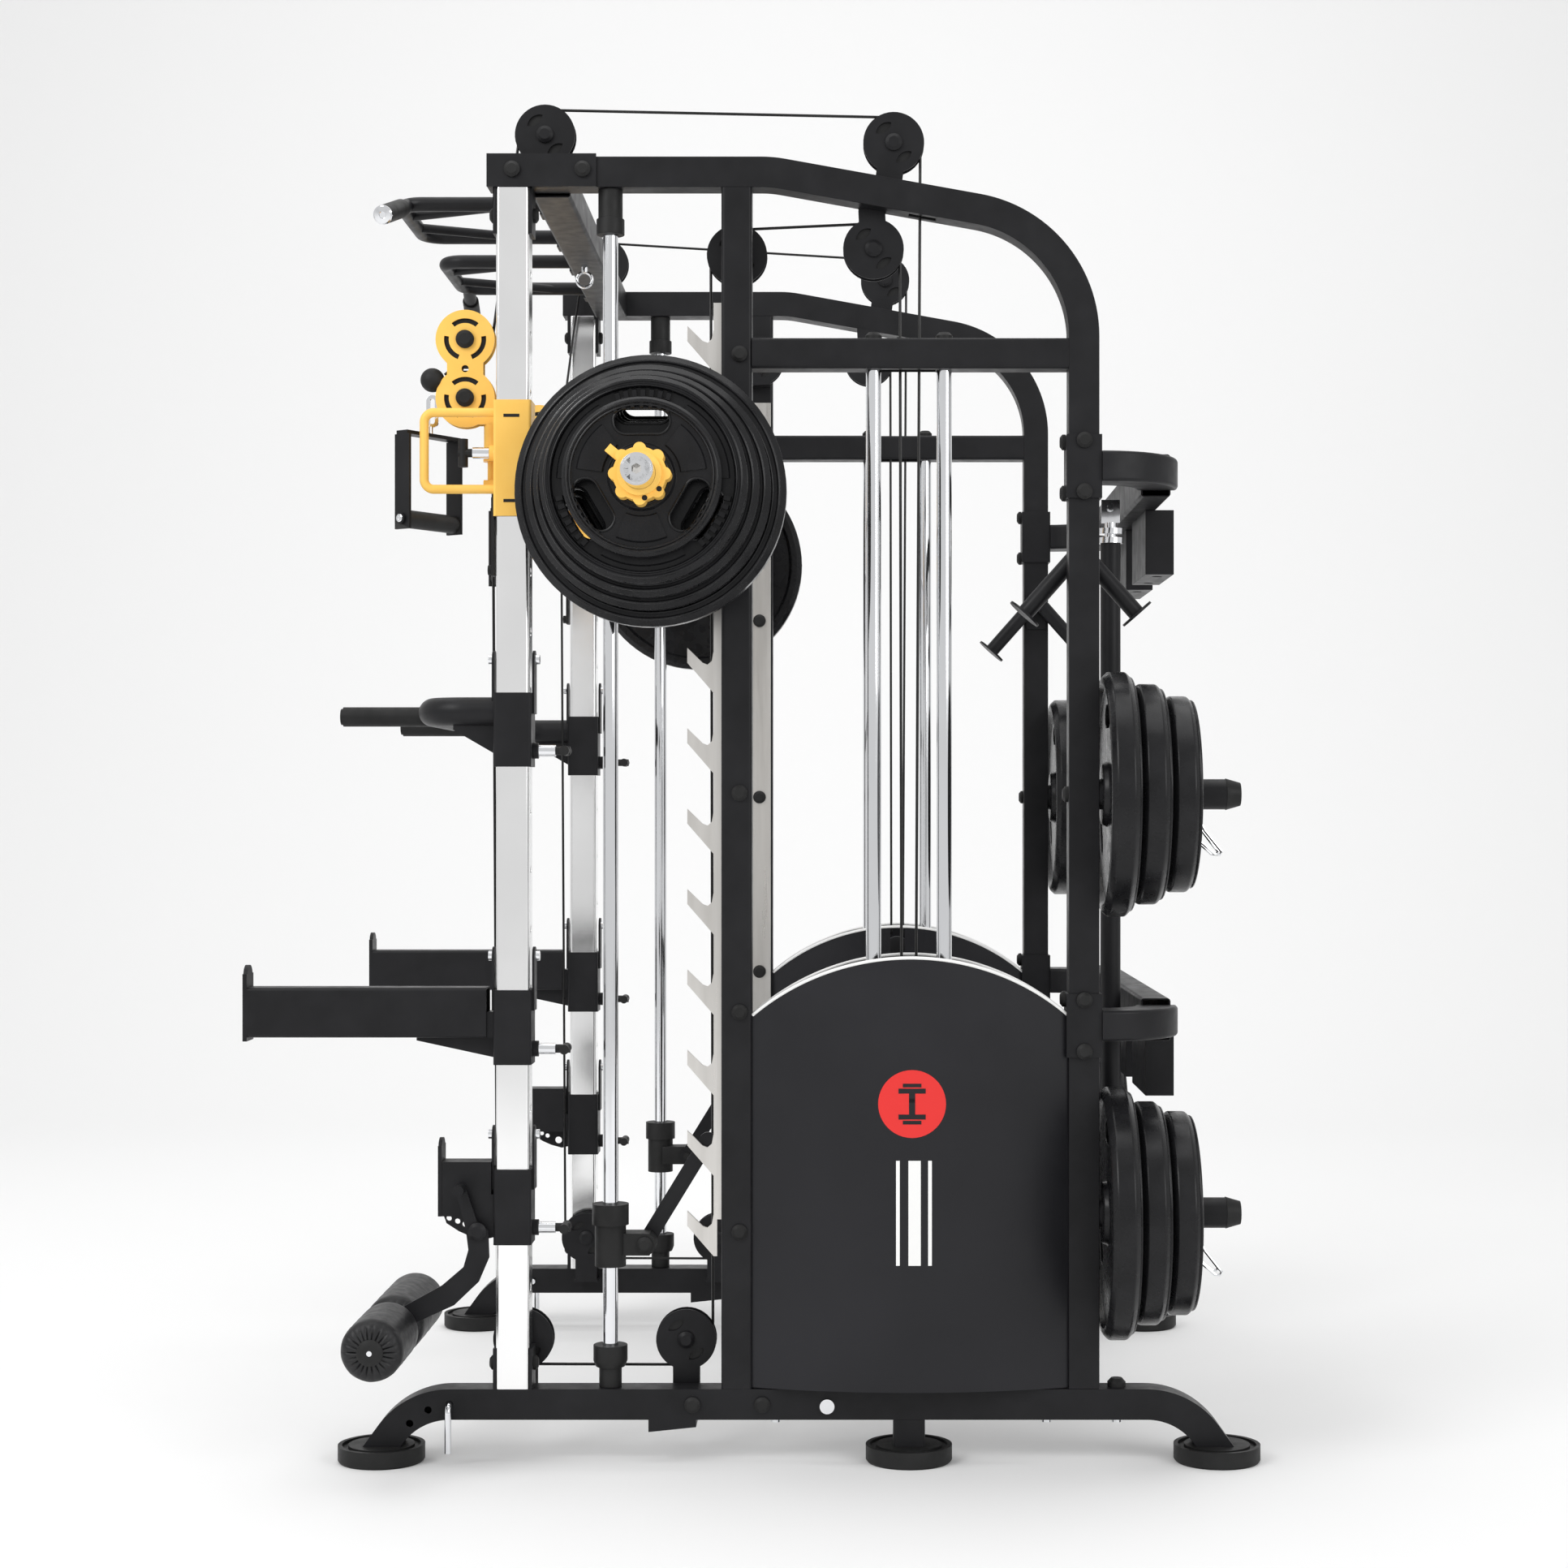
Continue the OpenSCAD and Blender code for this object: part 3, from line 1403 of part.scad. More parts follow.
foam_rollers();
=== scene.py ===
"""Looks of the smith machine: materials on the CAD nodes and the finer pieces around them."""
import math

import bmesh
import bpy
from mathutils import Euler, Matrix, Vector


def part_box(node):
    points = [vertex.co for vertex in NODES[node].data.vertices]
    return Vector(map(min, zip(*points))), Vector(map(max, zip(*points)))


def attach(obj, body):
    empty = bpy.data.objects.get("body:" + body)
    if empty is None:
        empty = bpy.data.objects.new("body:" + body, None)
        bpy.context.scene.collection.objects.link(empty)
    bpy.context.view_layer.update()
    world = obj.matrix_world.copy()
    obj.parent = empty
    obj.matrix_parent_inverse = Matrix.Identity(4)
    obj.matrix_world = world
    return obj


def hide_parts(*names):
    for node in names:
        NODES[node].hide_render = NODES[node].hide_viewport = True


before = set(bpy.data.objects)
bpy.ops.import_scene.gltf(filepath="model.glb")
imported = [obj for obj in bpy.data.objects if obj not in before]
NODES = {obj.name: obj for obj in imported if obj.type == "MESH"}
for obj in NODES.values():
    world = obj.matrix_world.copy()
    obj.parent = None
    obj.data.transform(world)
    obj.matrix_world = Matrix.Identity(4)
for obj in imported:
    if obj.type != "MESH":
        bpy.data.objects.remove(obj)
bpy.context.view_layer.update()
MM = 0.001
SIDES = (("right", 1), ("left", -1))  # name and sign of x
scene = bpy.context.scene
scene.view_settings.view_transform = "Standard"


# ---- camera ----
def add_camera():
    """Looks level at the machine's right side, from a little behind its middle."""
    data = bpy.data.cameras.new("camera")
    data.lens = 62.2
    data.sensor_width = 36.0
    data.shift_x = -0.0435
    data.shift_y = 0.0155
    camera = bpy.data.objects.new("camera", data)
    camera.location = (5.030, 0.163, 1.071)
    camera.rotation_euler = Euler((math.pi / 2, 0, math.pi / 2))
    scene.collection.objects.link(camera)
    scene.camera = camera


add_camera()


# ---- materials ----
class Shader:
    """A Principled material with helpers for procedural detail in object space."""

    def __init__(self, name, colour, roughness, metallic=0.0, **sockets):
        self.material = bpy.data.materials.new(name)
        self.material.use_nodes = True
        self.material.diffuse_color = (*colour, 1)
        self.nodes = self.material.node_tree.nodes
        self.links = self.material.node_tree.links
        self.bsdf = self.nodes["Principled BSDF"]
        self.bsdf.inputs["Base Color"].default_value = (*colour, 1)
        self.bsdf.inputs["Roughness"].default_value = roughness
        self.bsdf.inputs["Metallic"].default_value = metallic
        for key, value in sockets.items():
            self.bsdf.inputs[key.replace("_", " ")].default_value = value
        self.coords = self.nodes.new("ShaderNodeTexCoord").outputs["Object"]
        self.height = None

    def noise(self, scale, detail=3.0, stretch=(1, 1, 1), distortion=0.0):
        mapping = self.nodes.new("ShaderNodeMapping")
        mapping.inputs["Scale"].default_value = stretch
        self.links.new(self.coords, mapping.inputs["Vector"])
        node = self.nodes.new("ShaderNodeTexNoise")
        node.inputs["Scale"].default_value = scale
        node.inputs["Detail"].default_value = detail
        node.inputs["Distortion"].default_value = distortion
        self.links.new(mapping.outputs["Vector"], node.inputs["Vector"])
        return node.outputs["Fac"]

    def voronoi(self, scale, stretch=(1, 1, 1)):
        mapping = self.nodes.new("ShaderNodeMapping")
        mapping.inputs["Scale"].default_value = stretch
        self.links.new(self.coords, mapping.inputs["Vector"])
        node = self.nodes.new("ShaderNodeTexVoronoi")
        node.inputs["Scale"].default_value = scale
        self.links.new(mapping.outputs["Vector"], node.inputs["Vector"])
        return node.outputs["Distance"]

    def ramp(self, value, low, high, out_low, out_high):
        node = self.nodes.new("ShaderNodeMapRange")
        for key, number in zip(("From Min", "From Max", "To Min", "To Max"),
                               (low, high, out_low, out_high)):
            node.inputs[key].default_value = number
        self.links.new(value, node.inputs["Value"])
        return node.outputs["Result"]

    def vary_roughness(self, value, low, high):
        self.links.new(self.ramp(value, 0.3, 0.7, low, high), self.bsdf.inputs["Roughness"])
        return self

    def vary_colour(self, value, dark, light):
        mix = self.nodes.new("ShaderNodeMix")
        mix.data_type = "RGBA"
        factor, first, second, result = (mix.inputs[0], mix.inputs[6], mix.inputs[7],
                                         mix.outputs[2])
        first.default_value = (*dark, 1)
        second.default_value = (*light, 1)
        self.links.new(self.ramp(value, 0.3, 0.7, 0, 1), factor)
        self.links.new(result, self.bsdf.inputs["Base Color"])
        return self

    def bump(self, value, strength, distance):
        node = self.nodes.new("ShaderNodeBump")
        node.inputs["Strength"].default_value = strength
        node.inputs["Distance"].default_value = distance
        self.links.new(value, node.inputs["Height"])
        if self.height is not None:
            self.links.new(self.height, node.inputs["Normal"])
        self.height = node.outputs["Normal"]
        self.links.new(self.height, self.bsdf.inputs["Normal"])
        return self


def powder_coat(name, dark, light, rough):
    """Fine orange peel over a faintly mottled paint."""
    s = Shader(name, light, rough, Specular_IOR_Level=0.2)
    s.vary_colour(s.noise(14, 4), dark, light)
    s.vary_roughness(s.noise(38, 5), rough - 0.05, rough + 0.07)
    s.bump(s.noise(620, 2), 0.16, 0.00035)
    s.bump(s.noise(2100, 1), 0.10, 0.00012)
    return s.material


def chrome(name, colour=(0.83, 0.84, 0.86), rough=0.07):
    """Plated tube: long drawing marks and faint handling haze."""
    s = Shader(name, colour, rough, 1.0)
    s.vary_roughness(s.noise(9, 4), rough - 0.03, rough + 0.06)
    s.vary_colour(s.noise(5, 3), tuple(c * 0.94 for c in colour), colour)
    s.bump(s.noise(420, 2, (1, 1, 0.02)), 0.035, 0.0002)
    return s.material


def brushed_steel(name):
    s = Shader(name, (0.74, 0.72, 0.69), 0.3, 1.0)
    s.vary_roughness(s.noise(60, 4, (1, 1, 0.05)), 0.24, 0.42)
    s.vary_colour(s.noise(30, 4, (1, 1, 0.08)), (0.62, 0.60, 0.57), (0.78, 0.76, 0.73))
    s.bump(s.noise(900, 2, (1, 1, 0.03)), 0.12, 0.0002)
    return s.material


def rubber(name, colour, rough, grain=900, strength=0.22):
    s = Shader(name, colour, rough, Specular_IOR_Level=0.24)
    s.vary_colour(s.noise(22, 4), tuple(c * 0.72 for c in colour), tuple(c * 1.25 for c in colour))
    s.vary_roughness(s.noise(45, 4), rough - 0.06, rough + 0.08)
    s.bump(s.noise(grain, 3), strength, 0.0003)
    return s.material


def knurl(name, colour, rough, metallic):
    """Crossed fine ridges of a rolled grip."""
    s = Shader(name, colour, rough, metallic)
    s.bump(s.voronoi(520), 0.6, 0.0006)
    s.vary_roughness(s.noise(50, 3), rough - 0.05, rough + 0.08)
    return s.material


def satin_sheet(name):
    """Thin coated sheet: very fine texture with a broad soft sheen."""
    s = Shader(name, (0.013, 0.013, 0.016), 0.36, Specular_IOR_Level=0.26)
    s.vary_colour(s.noise(3, 3), (0.010, 0.010, 0.012), (0.016, 0.016, 0.019))
    s.vary_roughness(s.noise(24, 5), 0.32, 0.42)
    s.bump(s.noise(1500, 2), 0.14, 0.00015)
    return s.material


def vinyl(name):
    """Leather-grained vinyl skin over foam."""
    s = Shader(name, (0.016, 0.016, 0.017), 0.42, Specular_IOR_Level=0.3)
    s.vary_colour(s.noise(30, 4), (0.010, 0.010, 0.011), (0.020, 0.020, 0.021))
    s.vary_roughness(s.noise(70, 4), 0.36, 0.50)
    s.bump(s.voronoi(420), 0.5, 0.0004)
    s.bump(s.noise(26, 4), 0.35, 0.0018)
    return s.material


def plain_coat(name, colour, rough):
    s = Shader(name, colour, rough)
    s.vary_roughness(s.noise(60, 3), rough - 0.04, rough + 0.06)
    s.bump(s.noise(1200, 2), 0.06, 0.0001)
    return s.material


MAT = {
    "coat": powder_coat("black_powder_coat", (0.0085, 0.0085, 0.0095), (0.0135, 0.0135, 0.015), 0.40),
    "yellow": powder_coat("yellow_powder_coat", (0.92, 0.54, 0.11), (0.97, 0.60, 0.14), 0.34),
    "chrome": chrome("chrome_plate"),
    "post": chrome("polished_post", (0.97, 0.97, 0.97), 0.14),
    "steel": brushed_steel("brushed_rack_steel"),
    "rubber": rubber("moulded_rubber", (0.014, 0.014, 0.014), 0.52),
    "plate": rubber("plate_rubber", (0.009, 0.009, 0.010), 0.27, 700, 0.10),
    "nylon": rubber("wheel_nylon", (0.013, 0.013, 0.013), 0.42, 500, 0.12),
    "cable": rubber("cable_jacket", (0.010, 0.010, 0.010), 0.30, 1400, 0.10),
    "cast": powder_coat("cast_weight_paint", (0.02, 0.02, 0.021), (0.032, 0.032, 0.034), 0.5),
    "cover": satin_sheet("satin_cover"),
    "vinyl": vinyl("roller_vinyl"),
    "knurl": knurl("bar_knurl", (0.62, 0.62, 0.63), 0.28, 1.0),
    "grip": knurl("grip_rubber", (0.012, 0.012, 0.012), 0.50, 0.0),
    "white": plain_coat("white_trim", (0.86, 0.86, 0.85), 0.35),
    "red": plain_coat("red_emblem", (0.74, 0.02, 0.017), 0.38),
}


# ---- CAD nodes: finish, edges and parts of another material ----
def smooth_group(angle):
    """Geometry nodes that shade smooth across every edge flatter than angle."""
    group = bpy.data.node_groups.new("smooth_by_angle", "GeometryNodeTree")
    for in_out in ("INPUT", "OUTPUT"):
        group.interface.new_socket("Geometry", in_out=in_out, socket_type="NodeSocketGeometry")
    nodes, links = group.nodes, group.links
    first, last = nodes.new("NodeGroupInput"), nodes.new("NodeGroupOutput")
    edge = nodes.new("GeometryNodeInputMeshEdgeAngle")
    flat = nodes.new("FunctionNodeCompare")
    flat.operation = "LESS_THAN"
    flat.inputs["B"].default_value = math.radians(angle)
    faces = nodes.new("GeometryNodeSetShadeSmooth")
    faces.domain = "FACE"
    edges = nodes.new("GeometryNodeSetShadeSmooth")
    edges.domain = "EDGE"
    links.new(edge.outputs["Unsigned Angle"], flat.inputs["A"])
    links.new(first.outputs[0], faces.inputs["Geometry"])
    links.new(faces.outputs["Geometry"], edges.inputs["Geometry"])
    links.new(flat.outputs["Result"], edges.inputs["Shade Smooth"])
    links.new(edges.outputs["Geometry"], last.inputs[0])
    return group


EDGE_ANGLE = 32                   # degrees: a steeper edge stays sharp and is rounded
SMOOTH = smooth_group(EDGE_ANGLE)


def edge_softness(node, width, flat_first=False):
    """Closes the mesh's split edges, rounds its sharp ones and shades it smoothly."""
    mesh = node.data
    if "custom_normal" in mesh.attributes:
        mesh.attributes.remove(mesh.attributes["custom_normal"])
    weld = node.modifiers.new("weld", "WELD")
    weld.merge_threshold = 0.00001
    if flat_first:
        whole = node.modifiers.new("whole_faces", "DECIMATE")
        whole.decimate_type = "DISSOLVE"
        whole.angle_limit = math.radians(0.5)
    if width:
        bevel = node.modifiers.new("edges", "BEVEL")
        bevel.width = width
        bevel.segments = 2
        bevel.limit_method = "ANGLE"
        bevel.angle_limit = math.radians(EDGE_ANGLE)
    smooth = node.modifiers.new("smooth", "NODES")
    smooth.node_group = SMOOTH
    if width:
        node.modifiers.new("flat_faces", "WEIGHTED_NORMAL").keep_sharp = True


def finish_node(name, material, width=0.0009, flat_first=False):
    node = NODES[name]
    node.data.materials.clear()
    node.data.materials.append(MAT[material])
    for polygon in node.data.polygons:
        polygon.material_index = 0
    edge_softness(node, width, flat_first)


def paint(name, material, test):
    """Gives the faces whose middle passes test(x, y, z) in millimetres another material."""
    mesh = NODES[name].data
    mesh.materials.append(MAT[material])
    index = len(mesh.materials) - 1
    for polygon in mesh.polygons:
        if test(*(polygon.center / MM)):
            polygon.material_index = index


def sides(name):
    return [f"{name}_{side}" for side, _ in SIDES]


def finish_cad_nodes():
    coated = ["stack_frames", "crossbeams", "pull_up_bar", "brackets", "bar_storage_boxes", "pegs",
              "hanging_bar", "leg_roller_arm", "bar_sliders"]
    coated += sides("dip_arm") + sides("spotter_arm") + sides("j_hook") + sides("stop_link")
    for name in coated:
        finish_node(name, "coat")
    for name in ("base_rails", "top_rails"):
        finish_node(name, "coat", 0.003, flat_first=True)
    finish_node("front_posts", "post")
    finish_node("catch_racks", "steel", 0.0006)
    for name in ("guide_rods", "bright_hardware"):
        finish_node(name, "chrome", 0.0004)
    for name in ["feet_and_caps", "pull_up_grips", "rod_collars"] + sides("safety_stop"):
        finish_node(name, "rubber", 0.0012)
    for name in ("stored_plates", "bar_plates"):
        finish_node(name, "plate", 0.0025)
    finish_node("bar_collars", "yellow", 0.0022)
    finish_node("cables", "cable", 0)
    finish_node("shrouds", "cover", 0)
    for name in ["weight_stacks"] + sides("stack_head"):
        finish_node(name, "cast", 0.001)
    for name in sides("selector_pin"):
        finish_node(name, "yellow", 0.001)
    for name in NODES:
        if name.endswith("_wheels"):
            finish_node(name, "nylon", 0.0006)
    for name in sides("trainer_carriage") + sides("pulley_block"):
        finish_node(name, "yellow", 0.0008)
    for kind in ("trainer", "dip", "spotter", "j_hook"):
        for name in sides(f"{kind}_plunger"):
            finish_node(name, "chrome", 0.0006)
    finish_node("smith_bar", "chrome", 0.0012)
    for name in sides("d_handle"):
        finish_node(name, "coat", 0.0010)
    finish_node("foam_rollers", "vinyl", 0.002)


BALL_AT, BALL_R = (530, -534, 1782), 20.6
CLAMP_FRONT, CLAMP_BACK = -427.2, -356.8  # faces of the sleeve that slides on the post
BOLT_ROOM = 18                    # height of the band that holds a bolt's head
GRIP_Z = 1547                     # height of the D-handle's grip


def beyond_post_clamp(y):
    return y < CLAMP_FRONT or y > CLAMP_BACK


def paint_mixed_nodes():
    """Pieces of one CAD node that the real machine makes of different stuff."""
    for kind in ("dip", "spotter", "j_hook"):
        for name in sides(f"{kind}_plunger"):
            paint(name, "rubber", lambda x, y, z: y > -322)
    for name in sides("trainer_plunger"):
        paint(name, "rubber", lambda x, y, z: y < -462)
    for name in sides("pulley_block"):
        low_x, high_x = (b.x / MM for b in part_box(name))
        middle = (low_x + high_x) / 2
        paint(name, "rubber", lambda x, y, z, m=middle: abs(x - m) > 12.2 and z > 1700
              and y > -515)
        paint(name, "nylon", lambda x, y, z, m=middle: abs(x - m) < 8.9 and z > 1704
              and y < -436)
        paint(name, "rubber", lambda x, y, z: math.dist((abs(x), y, z), BALL_AT) < BALL_R)
    for name in sides("trainer_carriage"):
        paint(name, "rubber", lambda x, y, z: z < 1548 or (z < 1582 and y < -423.2))
    paint("smith_bar", "knurl", lambda x, y, z: abs(x) < 520)
    paint("smith_bar", "coat", lambda x, y, z: 548 < abs(x) < 556)
    for name in sides("dip_arm"):
        paint(name, "rubber", lambda x, y, z: y < -560)
        paint(name, "chrome", lambda x, y, z: 1306 < z < 1324 and beyond_post_clamp(y))
    for kind, bolt_low in (("spotter_arm", 820), ("j_hook", 527)):
        for name in sides(kind):
            paint(name, "chrome", lambda x, y, z, low=bolt_low: low < z < low + BOLT_ROOM
                  and y > -434.5 and beyond_post_clamp(y))
    for name in sides("d_handle"):
        paint(name, "chrome", lambda x, y, z: z > 1693 or abs(z - GRIP_Z) < 10 and y < -600)
        paint(name, "grip", lambda x, y, z: abs(z - GRIP_Z) < 15.5 and 474 < abs(x) < 586)
    paint("pegs", "rubber", lambda x, y, z: y > 774)
    paint("hanging_bar", "chrome", lambda x, y, z: z > 1529)


finish_cad_nodes()
paint_mixed_nodes()


# ---- mesh helpers ----
def new_object(name, mesh, material, body, smooth_angle=35):
    """Links a mesh as a piece that rides on a CAD body."""
    piece = bpy.data.objects.new(name, mesh)
    scene.collection.objects.link(piece)
    mesh.materials.append(MAT[material])
    for polygon in mesh.polygons:
        polygon.use_smooth = True
    mesh.set_sharp_from_angle(angle=math.radians(smooth_angle))
    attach(piece, body)
    return piece


def mesh_of(name, verts, faces):
    mesh = bpy.data.meshes.new(name)
    mesh.from_pydata([tuple(v) for v in verts], [], faces)
    mesh.update()
    return mesh


def axis_frame(origin, axis):
    """Matrix that takes local +Z to axis and the local origin to origin."""
    rotation = Vector((0, 0, 1)).rotation_difference(Vector(axis)).to_matrix().to_4x4()
    return Matrix.Translation(Vector(origin)) @ rotation


def lathe(name, profile, origin, axis, material, body, turns=96):
    """Closed or open profile of (radius, height) in millimetres, turned about axis."""
    place = axis_frame(Vector(origin) * MM, axis)
    verts = []
    for k in range(turns):
        a = 2 * math.pi * k / turns
        verts += [place @ (Vector((r * math.cos(a), r * math.sin(a), h)) * MM)
                  for r, h in profile]
    n = len(profile)
    faces = []
    for k in range(turns):
        m = (k + 1) % turns
        faces += [(k * n + i, m * n + i, m * n + (i + 1) % n, k * n + (i + 1) % n)
                  for i in range(n)]
    mesh = mesh_of(name, verts, faces)
    tidy(mesh)
    return new_object(name, mesh, material, body)


def tidy(mesh):
    """Merges doubled points on an axis, drops empty faces and points faces outwards."""
    work = bmesh.new()
    work.from_mesh(mesh)
    bmesh.ops.remove_doubles(work, verts=work.verts, dist=0.000002)
    bmesh.ops.dissolve_degenerate(work, edges=work.edges, dist=0.000001)
    bmesh.ops.recalc_face_normals(work, faces=work.faces)
    work.to_mesh(mesh)
    work.free()
    mesh.update()


def joined(name, meshes, material, body, smooth_angle=35):
    """One piece from several meshes."""
    work = bmesh.new()
    for mesh in meshes:
        work.from_mesh(mesh)
        bpy.data.meshes.remove(mesh)
    mesh = bpy.data.meshes.new(name)
    work.to_mesh(mesh)
    work.free()
    return new_object(name, mesh, material, body, smooth_angle)


def swept_tube(path, radius, around=16, closed=False, name="tube"):
    """Mesh of a round wire along a path of points in millimetres."""
    points = [Vector(p) * MM for p in path]
    count = len(points)
    verts, faces = [], []
    normal = None
    for i, p in enumerate(points):
        before = points[i - 1] if (i or closed) else p
        after = points[(i + 1) % count] if (i < count - 1 or closed) else p
        tangent = (after - before).normalized()
        if normal is None:
            normal = tangent.orthogonal().normalized()
        normal = (normal - tangent * normal.dot(tangent)).normalized()
        side = tangent.cross(normal)
        verts += [p + radius * MM * (math.cos(a) * normal + math.sin(a) * side)
                  for a in (2 * math.pi * k / around for k in range(around))]
    for i in range(count if closed else count - 1):
        j = (i + 1) % count
        faces += [(i * around + k, i * around + (k + 1) % around,
                   j * around + (k + 1) % around, j * around + k) for k in range(around)]
    if not closed:
        faces.append(tuple(range(around - 1, -1, -1)))
        faces.append(tuple((count - 1) * around + k for k in range(around)))
    return mesh_of(name, verts, faces)


def ring_sector(r0, r1, a0, a1, z0, z1, place, steps=24, rise=0.0):
    """Mesh of an arched bar between two radii and two angles, its top edges eased by rise."""
    outline = [(r0, z0), (r1, z0), (r1, z1 - rise), (r1 - rise, z1), (r0 + rise, z1),
               (r0, z1 - rise)] if rise else [(r0, z0), (r1, z0), (r1, z1), (r0, z1)]
    n = len(outline)
    verts = []
    for k in range(steps + 1):
        a = math.radians(a0 + (a1 - a0) * k / steps)
        verts += [place @ (Vector((r * math.cos(a), r * math.sin(a), h)) * MM)
                  for r, h in outline]
    faces = [(k * n + i, k * n + (i + 1) % n, (k + 1) * n + (i + 1) % n, (k + 1) * n + i)
             for k in range(steps) for i in range(n)]
    faces.append(tuple(range(n - 1, -1, -1)))
    faces.append(tuple(steps * n + i for i in range(n)))
    return mesh_of("sector", verts, faces)


def solids(node):
    """(low, high) corners in millimetres of each separate solid of a CAD node."""
    work = bmesh.new()
    work.from_mesh(NODES[node].data)
    bmesh.ops.remove_doubles(work, verts=work.verts, dist=0.00001)
    left = set(work.verts)
    found = []
    while left:
        stack = [left.pop()]
        island = []
        while stack:
            vert = stack.pop()
            island.append(vert.co / MM)
            for edge in vert.link_edges:
                other = edge.other_vert(vert)
                if other in left:
                    left.remove(other)
                    stack.append(other)
        found.append((Vector(min(c[i] for c in island) for i in range(3)),
                      Vector(max(c[i] for c in island) for i in range(3))))
    work.free()
    return found


# ---- weight plates: rims, pads, hand-hole lips and finger ribs ----
HAND_HALF = 19.0                  # half height of a hand hole, as in the CAD
HAND_RUN = 24.0                   # from its middle to the centre of its round end
WEB_SHARE = 0.88                  # radius where the sunk web ends
WEB_DEPTH = 0.22                  # share of the plate's thickness that the web is sunk
HOLE_ANGLES = (90, 210, 330)


def plate_place(low, high, axis, sign):
    """Matrix with local +Z out of the plate's face and local +Y up, and its thickness."""
    middle = (low + high) / 2
    if axis == "x":
        middle.x = high.x if sign > 0 else low.x
        columns = ((0, 1, 0), (0, 0, 1), (sign, 0, 0))
        thickness = high.x - low.x
    else:
        middle.y = high.y
        columns = ((1, 0, 0), (0, 0, 1), (0, 1, 0))
        thickness = high.y - low.y
    place = Matrix(columns).transposed().to_4x4()
    place.translation = middle * MM
    return place, thickness


def plate_pads(radius, thickness, place):
    """Three raised pads between the hand holes, and their finger ribs and lips."""
    slot_mid = 0.55 * radius + 17.8
    half_hole = math.degrees(math.asin((HAND_RUN + HAND_HALF) / slot_mid))
    web = -WEB_DEPTH * thickness
    hub = max(49.6, 0.22 * radius)
    meshes = []
    for angle in HOLE_ANGLES:
        pad_half = 60 - half_hole - 7
        meshes.append(ring_sector(hub + 10, WEB_SHARE * radius - 7, angle + 60 - pad_half,
                                  angle + 60 + pad_half, web - 1, web + 3.4, place, 18, 2.2))
        for k in range(7):
            rib = angle + (k - 3) * half_hole * 0.24
            outer = slot_mid + HAND_HALF
            meshes.append(ring_sector(outer + 1, outer + 15, rib - 1.5, rib + 1.5,
                                      web - 1, min(web + 5.6, -0.2), place, 2, 1.6))
        turn = math.radians(angle)
        path = []
        for k in range(40):
            a = 2 * math.pi * k / 40
            along = math.copysign(HAND_RUN, math.sin(a)) + (HAND_HALF + 1.2) * math.sin(a)
            out = slot_mid + (HAND_HALF + 1.2) * math.cos(a)
            local = Vector((out * math.cos(turn) - along * math.sin(turn),
                            out * math.sin(turn) + along * math.cos(turn), web + 0.4))
            path.append((place @ (local * MM)) / MM)
        meshes.append(swept_tube(path, 2.0, 8, closed=True))
    return meshes


def plate_rings(radius, thickness, place):
    """Beads on the rim and round the hub."""
    meshes = []
    hub = max(49.6, 0.22 * radius)
    for r, size, depth in ((radius * 0.945, 2.6, 0.3), (radius * 0.90, 1.8, 1.2),
                           (hub - 7, 1.8, 0.4)):
        path = [place @ (Vector((r * math.cos(a), r * math.sin(a), -depth)) * MM) / MM
                for a in (2 * math.pi * k / 96 for k in range(96))]
        meshes.append(swept_tube(path, size, 8, closed=True))
    return meshes


def dress_plates(node, axis, body, label):
    for i, (low, high) in enumerate(sorted(solids(node), key=lambda s: (s[0].x, s[0].y, s[0].z))):
        radius = (high.z - low.z) / 2
        sign = 1 if (low.x + high.x) > 0 else -1
        place, thickness = plate_place(low, high, axis, sign)
        meshes = plate_rings(radius, thickness, place) + plate_pads(radius, thickness, place)
        for mesh in meshes:
            tidy(mesh)
        piece = joined(f"{label}_{i + 1}", meshes, "plate", body, 40)


dress_plates("bar_plates", "x", "bar", "bar_plate_relief")
dress_plates("stored_plates", "y", "frame", "stored_plate_relief")


# ---- covers of the weight stacks ----
COVER_EDGE_X = 599.0              # plane of the outer cover's two edges
COVER_RISE = 43.0                 # how far it bulges
INNER_EDGE_X = 561.0              # the same two sizes of the inner cover
INNER_RISE = 36.0
COVER_SIDE_Z = 732.0
COVER_TOP_Z = 829.0
cover_low, cover_high = (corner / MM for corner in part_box("shrouds"))
COVER_MID = (cover_low.y + cover_high.y) / 2
COVER_HALF = (cover_high.y - cover_low.y) / 2


def arc_radius(chord_half, rise):
    return (chord_half ** 2 + rise ** 2) / (2 * rise)


def cover_point(y, z, proud, rise=COVER_RISE, edge=COVER_EDGE_X, sense=1):
    """Point on a cover's outside at y and z, standing proud of it, right side."""
    r = arc_radius(COVER_HALF, rise)
    bulge = math.sqrt(max(r ** 2 - (y - COVER_MID) ** 2, 0)) - (r - rise)
    return Vector((edge + sense * (bulge + proud), y, z))


def cover_top(y):
    r = arc_radius(COVER_HALF, COVER_TOP_Z - COVER_SIDE_Z)
    return COVER_TOP_Z - r + math.sqrt(max(r ** 2 - (y - COVER_MID) ** 2, 0))


def cover_trims():
    """White bead along the arched top edge of each cover."""
    ys = [COVER_MID + COVER_HALF * (k / 30 - 1) * 0.995 for k in range(61)]
    for side, mirror in SIDES:
        for part, edge, rise, sense in (("outer", COVER_EDGE_X, COVER_RISE, 1),
                                        ("inner", INNER_EDGE_X, INNER_RISE, -1)):
            path = []
            for y in ys:
                p = cover_point(y, cover_top(y) - 0.5, -1.2, rise, edge, sense)
                path.append((p.x * mirror, p.y, p.z))
            mesh = swept_tube(path, 2.7, 10)
            tidy(mesh)
            piece = new_object(f"cover_trim_{part}_{side}", mesh, "white", "frame")


cover_trims()


